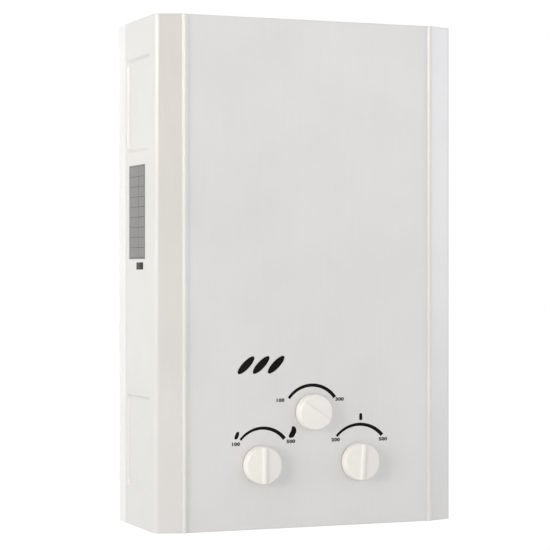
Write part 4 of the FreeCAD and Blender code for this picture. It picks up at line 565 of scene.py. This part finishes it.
def cover_screws():
    """Cross-recessed heads in place of the plain ones."""
    low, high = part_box("cover_screws")
    y = (low.y + high.y) / 2
    shape = bmesh.new()
    for x in (low.x + SCREW_HEAD, high.x - SCREW_HEAD):
        screw_head(shape, x, y, low.z + SCREW_RISE, -1)
        screw_head(shape, x, y, high.z - SCREW_RISE, 1)
    bmesh.ops.recalc_face_normals(shape, faces=shape.faces)
    made = piece("cross_head_screws", shape, "heater", FINISHES["screw_steel"],
                 smooth_below=35)
    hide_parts("cover_screws")


# ---------------------------------------------------------------- printing on the panel

INK_DEPTH = 0.03 * MM
NUMERAL_SIZE = 4.6 * MM
NUMERAL_WIDTH = 1.25
NUMERAL_SPACING = 1.12
NUMERAL_WEIGHT = 0.28 * MM
NUMERAL_DEPTH = 0.015 * MM
# Each scale's arc in millimetres: its middle's place across, its top's height, its radius, half its chord,
# and its width at the left and right end.
SCALES = (
    ("scale_gas", -52.6, 102.8, 31.0, 24.1, 2.4, 4.0),
    ("scale_season", 1.9, 145.4, 31.7, 25.6, 3.0, 3.7),
    ("scale_water", 55.3, 103.7, 34.3, 25.8, 2.5, 3.9),
)
# Plain numerals and their middles in millimetres.
NUMERALS = (
    ("100", -81.9, 87.1), ("500", -21.5, 88.2),
    ("100", -33.4, 130.5), ("300", 32.9, 130.2),
    ("200", 28.4, 88.4), ("500", 82.1, 87.6),
)
# The corners, in millimetres, of a small and a large flame and of a tick.
BLOTS = (
    ("flame_small", ((-83.6, 92.3), (-80.2, 92.0), (-78.4, 95.6), (-77.6, 99.6), (-80.6, 99.8),
                     (-82.2, 97.0))),
    ("flame_large", ((-24.6, 92.0), (-18.6, 92.0), (-16.6, 95.6), (-15.0, 98.4), (-16.4, 103.4),
                     (-20.4, 104.2), (-20.6, 100.2), (-22.6, 97.0))),
    ("tick_water", ((55.1, 108.2), (56.9, 107.9), (58.7, 108.2), (58.6, 111.5), (58.5, 114.8), (56.9, 115.4),
                    (55.3, 114.8), (55.2, 111.5))),
)


def printed(name, outline):
    """Black ink on the panel, from a closed outline of (x, z) in metres."""
    shape = bmesh.new()
    shape.faces.new([shape.verts.new((x, PRINT_Y, z)) for x, z in outline])
    made = piece(name, shape, "heater", INK)
    made.modifiers.new("thickness", "SOLIDIFY").thickness = INK_DEPTH


def arc_outline(centre, radius, widths, reach, steps=28):
    """A ring sector that widens from left to right. Its reach is the angle to each side of straight up."""
    outer = []
    inner = []
    for step in range(steps + 1):
        share = step / steps
        angle = reach * (2 * share - 1)
        width = widths[0] + (widths[1] - widths[0]) * share
        for side, points in ((1, outer), (-1, inner)):
            r = radius + side * width / 2
            points.append((centre[0] + r * math.sin(angle), centre[1] + r * math.cos(angle)))
    return outer + inner[::-1]


def soft_outline(points, steps=6):
    """A closed outline that rounds its corners."""
    outline = []
    count = len(points)
    for i in range(count):
        before, corner, after = (Vector(points[(i + k) % count]) for k in (-1, 0, 1))
        start = (before + corner) / 2
        end = (corner + after) / 2
        for step in range(steps):
            t = step / steps
            outline.append((start * (1 - t) ** 2 + corner * 2 * t * (1 - t) + end * t ** 2) * MM)
    return outline


def numeral(text, x, z):
    """Wide plain numerals on the panel."""
    letters = bpy.data.curves.new(f"numeral_{text}", "FONT")
    letters.body = text
    letters.size = NUMERAL_SIZE
    letters.space_character = NUMERAL_SPACING
    letters.align_x = "CENTER"
    letters.align_y = "CENTER"
    letters.extrude = NUMERAL_DEPTH
    letters.offset = NUMERAL_WEIGHT
    letters.materials.append(INK_GREY)
    made = bpy.data.objects.new(f"numeral_{text}_{round(x)}", letters)
    made.rotation_euler = (math.pi / 2, 0, 0)
    made.scale = (NUMERAL_WIDTH, 1, 1)
    made.location = (x * MM, PRINT_Y, z * MM)
    bpy.context.scene.collection.objects.link(made)
    bpy.context.view_layer.update()
    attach(made, "heater")


def panel_print():
    """The three knobs' scales, with their numerals, flames and tick."""
    for name, x, top, radius, half_chord, left, right in SCALES:
        reach = math.asin(half_chord / radius)
        printed(name, arc_outline((x * MM, (top - radius) * MM), radius * MM, (left * MM, right * MM), reach))
    for text, x, z in NUMERALS:
        numeral(text, x, z)
    for name, corners in BLOTS:
        printed(name, soft_outline(corners))


# ---------------------------------------------------------------- left side

# The plate's empty table: its rules, its margin, its rows, and where across it its inner rule stands.
RULE_WIDTH = 0.35 * MM
RULE_DEPTH = 0.02 * MM
RULE_LIFT = 0.03 * MM
PLATE_MARGIN = 1.5 * MM
PLATE_ROWS = 9
PLATE_COLUMN = 0.62
# The small grey square under the plate: its middle and its half size, along Y and Z.
SQUARE_Y, SQUARE_Z = -68.5 * MM, 267.7 * MM
SQUARE_HALF_Y, SQUARE_HALF_Z = 11 * MM, 3.7 * MM


def side_strip(shape, x, y0, z0, y1, z1):
    """A flat rectangle that faces left."""
    shape.faces.new([shape.verts.new((x, y, z)) for y, z in ((y0, z0), (y0, z1), (y1, z1), (y1, z0))])


def plate_ruling():
    """Thin rules on the grey plate: a plain empty table."""
    x = PLATE_LOW.x - RULE_LIFT
    rear, front = PLATE_HIGH.y - PLATE_MARGIN, PLATE_LOW.y + PLATE_MARGIN
    low, high = PLATE_LOW.z + PLATE_MARGIN, PLATE_HIGH.z - PLATE_MARGIN
    shape = bmesh.new()
    for row in range(PLATE_ROWS + 1):
        z = low + (high - low) * row / PLATE_ROWS
        side_strip(shape, x, rear, z - RULE_WIDTH / 2, front, z + RULE_WIDTH / 2)
    for y in (rear, rear + (front - rear) * PLATE_COLUMN, front):
        side_strip(shape, x, y - RULE_WIDTH / 2, low, y + RULE_WIDTH / 2, high)
    ruling = piece("plate_ruling", shape, "heater", INK_GREY)
    ruling.modifiers.new("thickness", "SOLIDIFY").thickness = RULE_DEPTH


def side_square():
    """The small grey square on the side, without its print."""
    shape = bmesh.new()
    side_strip(shape, COVER_LOW.x - PRINT_LIFT, SQUARE_Y - SQUARE_HALF_Y, SQUARE_Z - SQUARE_HALF_Z,
               SQUARE_Y + SQUARE_HALF_Y, SQUARE_Z + SQUARE_HALF_Z)
    square = piece("side_square", shape, "heater", INK_GREY)
    square.modifiers.new("thickness", "SOLIDIFY").thickness = INK_DEPTH


# ---------------------------------------------------------------- studio

# Each lamp's name, place, target, size, power in watts, colour, and whether the steel mirrors it.
LAMPS = (
    ("key", (-2.3, -1.15, 0.42), (0, 0, 0.2), (1.1, 0.5), 28, (1.0, 1.0, 0.99), False),
    ("upper_key", (-1.9, -1.25, 1.15), (0, 0, 0.2), (0.5, 0.7), 9, (1.0, 0.92, 0.78), True),
    ("fill", (1.8, -1.2, 0.9), (0, 0, 0.25), (1.2, 1.6), 2.6, (0.93, 0.95, 1.0), True),
)
# The heater hangs on a wall, so the floor is below the swing of its open battery door.
FLOOR_DROP = 0.065
FLOOR_HALF = 4.0
FLOOR_GREY = 0.8
FLOOR_GLOW = 1.1
FLOOR_WHITENESS = 0.8
HORIZON_BLEND = 0.15
# The surroundings, for every ray but the camera's, by the angle from straight in front towards the right
# (degrees): a colour below the horizon and one above it. They aren't a plain studio. A scratch program's
# least-squares fit of one render per band to mean colours of patches of the photograph gave the first
# values, and some were then changed by hand. LAMPS' powers and colours began with the same fit.
SURROUNDINGS = (
    (-180, (0.96, 0.95, 0.95), (0.94, 0.93, 0.90)),
    (-155, (0.98, 0.97, 0.96), (0.94, 0.93, 0.90)),
    (-110, (0.70, 0.70, 0.69), (0.66, 0.66, 0.64)),
    (-70, (0.90, 0.89, 0.88), (1.00, 0.99, 0.95)),
    (-44, (0.72, 0.69, 0.66), (0.56, 0.50, 0.42)),
    (-18, (0.55, 0.51, 0.47), (0.32, 0.24, 0.15)),
    (0, (0.50, 0.47, 0.45), (0.29, 0.23, 0.16)),
    (22, (0.70, 0.71, 0.74), (1.18, 1.21, 1.26)),
    (42, (0.80, 0.81, 0.84), (1.00, 1.03, 1.08)),
    (62, (1.55, 1.55, 1.60), (1.02, 1.02, 1.10)),
    (100, (0.90, 0.90, 0.92), (1.05, 1.05, 1.03)),
    (130, (0.85, 0.85, 0.87), (1.00, 1.00, 0.98)),
    (180, (0.96, 0.95, 0.95), (0.94, 0.93, 0.90)),
)


def soft_light(name, place, target, size, power, colour, mirrored):
    """A rectangular lamp. One that isn't mirrored lights the steel without a highlight in it."""
    light = bpy.data.lights.new(name, "AREA")
    light.shape = "RECTANGLE"
    light.size, light.size_y = size
    light.energy = power
    light.color = colour
    made = bpy.data.objects.new(name, light)
    made.location = place
    made.rotation_euler = (Vector(target) - Vector(place)).to_track_quat("-Z", "Y").to_euler()
    made.visible_glossy = mirrored
    bpy.context.scene.collection.objects.link(made)


def compass_ramp(tree, angle, column):
    """One band of the surroundings, as a colour by compass angle."""
    ramp = tree.nodes.new("ShaderNodeValToRGB")
    stops = ramp.color_ramp.elements
    while len(stops) < len(SURROUNDINGS):
        stops.new(0.5)
    for stop, row in zip(stops, SURROUNDINGS):
        stop.position = (row[0] + 180) / 360
        stop.color = (*row[column], 1)
    tree.links.new(angle, ramp.inputs["Fac"])
    return ramp.outputs["Color"]


def surroundings():
    """A world that is plain white to the camera, and graded by SURROUNDINGS to every other ray."""
    world = bpy.data.worlds.new("studio")
    bpy.context.scene.world = world
    world.use_nodes = True
    tree = world.node_tree
    place = tree.nodes.new("ShaderNodeTexCoord")
    parts = tree.nodes.new("ShaderNodeSeparateXYZ")
    back = tree.nodes.new("ShaderNodeMath")
    back.operation = "MULTIPLY"
    back.inputs[1].default_value = -1
    turn = tree.nodes.new("ShaderNodeMath")
    turn.operation = "ARCTAN2"
    compass = tree.nodes.new("ShaderNodeMapRange")
    compass.inputs["From Min"].default_value = -math.pi
    compass.inputs["From Max"].default_value = math.pi
    height = tree.nodes.new("ShaderNodeMapRange")
    height.inputs["From Min"].default_value = -HORIZON_BLEND
    height.inputs["From Max"].default_value = HORIZON_BLEND
    bands = tree.nodes.new("ShaderNodeMix")
    bands.data_type = "RGBA"
    shade = tree.nodes["Background"]
    white = tree.nodes.new("ShaderNodeBackground")
    white.inputs["Color"].default_value = (1, 1, 1, 1)
    path = tree.nodes.new("ShaderNodeLightPath")
    choose = tree.nodes.new("ShaderNodeMixShader")
    tree.links.new(place.outputs["Generated"], parts.inputs["Vector"])
    tree.links.new(parts.outputs["Y"], back.inputs[0])
    tree.links.new(parts.outputs["X"], turn.inputs[0])
    tree.links.new(back.outputs["Value"], turn.inputs[1])
    tree.links.new(turn.outputs["Value"], compass.inputs["Value"])
    tree.links.new(parts.outputs["Z"], height.inputs["Value"])
    tree.links.new(height.outputs["Result"], bands.inputs["Factor"])
    tree.links.new(compass_ramp(tree, compass.outputs["Result"], 1), bands.inputs["A"])
    tree.links.new(compass_ramp(tree, compass.outputs["Result"], 2), bands.inputs["B"])
    tree.links.new(bands.outputs["Result"], shade.inputs["Color"])
    tree.links.new(path.outputs["Is Camera Ray"], choose.inputs["Fac"])
    tree.links.new(shade.outputs["Background"], choose.inputs[1])
    tree.links.new(white.outputs["Background"], choose.inputs[2])
    tree.links.new(choose.outputs["Shader"], tree.nodes["World Output"].inputs["Surface"])


def mixed(tree, factor, first, second):
    """A mix of two shaders, by a socket or by a number."""
    mix = tree.nodes.new("ShaderNodeMixShader")
    if isinstance(factor, float):
        mix.inputs["Fac"].default_value = factor
    else:
        tree.links.new(factor, mix.inputs["Fac"])
    tree.links.new(first, mix.inputs[1])
    tree.links.new(second, mix.inputs[2])
    return mix.outputs["Shader"]


def floor_white():
    """White with a faint shadow to the camera, clear from below, and an even pale tone in the steel."""
    made, tree, surface = shader("floor_white")
    surface.inputs["Base Color"].default_value = (FLOOR_GREY, FLOOR_GREY, FLOOR_GREY, 1)
    surface.inputs["Roughness"].default_value = 0.9
    glow = tree.nodes.new("ShaderNodeEmission")
    glow.inputs["Strength"].default_value = FLOOR_GLOW
    pale = tree.nodes.new("ShaderNodeEmission")
    pale.inputs["Strength"].default_value = FLOOR_GREY
    clear = tree.nodes.new("ShaderNodeBsdfTransparent")
    side = tree.nodes.new("ShaderNodeNewGeometry")
    path = tree.nodes.new("ShaderNodeLightPath")
    in_steel = tree.nodes.new("ShaderNodeMath")
    in_steel.operation = "MAXIMUM"
    tree.links.new(path.outputs["Is Glossy Ray"], in_steel.inputs[0])
    tree.links.new(path.outputs["Is Transmission Ray"], in_steel.inputs[1])
    lit = mixed(tree, FLOOR_WHITENESS, surface.outputs["BSDF"], glow.outputs["Emission"])
    seen = mixed(tree, side.outputs["Backfacing"], lit, clear.outputs["BSDF"])
    unseen = mixed(tree, in_steel.outputs["Value"], surface.outputs["BSDF"], pale.outputs["Emission"])
    chosen = mixed(tree, path.outputs["Is Camera Ray"], unseen, seen)
    tree.links.new(chosen, tree.nodes["Material Output"].inputs["Surface"])
    return made


def ground():
    """The floor, which belongs to the studio and not to the heater."""
    level = cad_box[0][2] - FLOOR_DROP
    corners = [(x * FLOOR_HALF, y * FLOOR_HALF, level) for x, y in ((-1, -1), (1, -1), (1, 1), (-1, 1))]
    mesh = bpy.data.meshes.new("floor")
    mesh.from_pydata(corners, [], [(0, 1, 2, 3)])
    mesh.materials.append(floor_white())
    floor = bpy.data.objects.new("floor", mesh)
    bpy.context.scene.collection.objects.link(floor)


def camera():
    """The photograph's camera: level, with a small shift for its horizon."""
    lens = bpy.data.cameras.new("camera")
    lens.sensor_width = SENSOR
    lens.lens = SENSOR * FOCAL_PIXELS / FRAME_PIXELS
    lens.shift_y = (HORIZON_PIXEL - FRAME_PIXELS / 2) / FRAME_PIXELS
    made = bpy.data.objects.new("camera", lens)
    made.location = CAMERA_PLACE
    made.rotation_euler = (math.pi / 2, 0, -CAMERA_YAW)
    bpy.context.scene.collection.objects.link(made)
    bpy.context.scene.camera = made
    bpy.context.scene.view_settings.view_transform = "Standard"


camera()
dress_nodes()
# Each knob's crest leans from upright by an angle in degrees.
knob("gas_knob", "gas_control", 0)
knob("water_knob", "water_control", 4)
knob("season_knob", "season_control", -56)
panel_print()
plate_ruling()
side_square()
threaded("gas_inlet")
threaded("cold_inlet", FILTER_BORE)
threaded("hot_outlet")
cover_screws()
coil_spring()
for lamp in LAMPS:
    soft_light(*lamp)
surroundings()
ground()
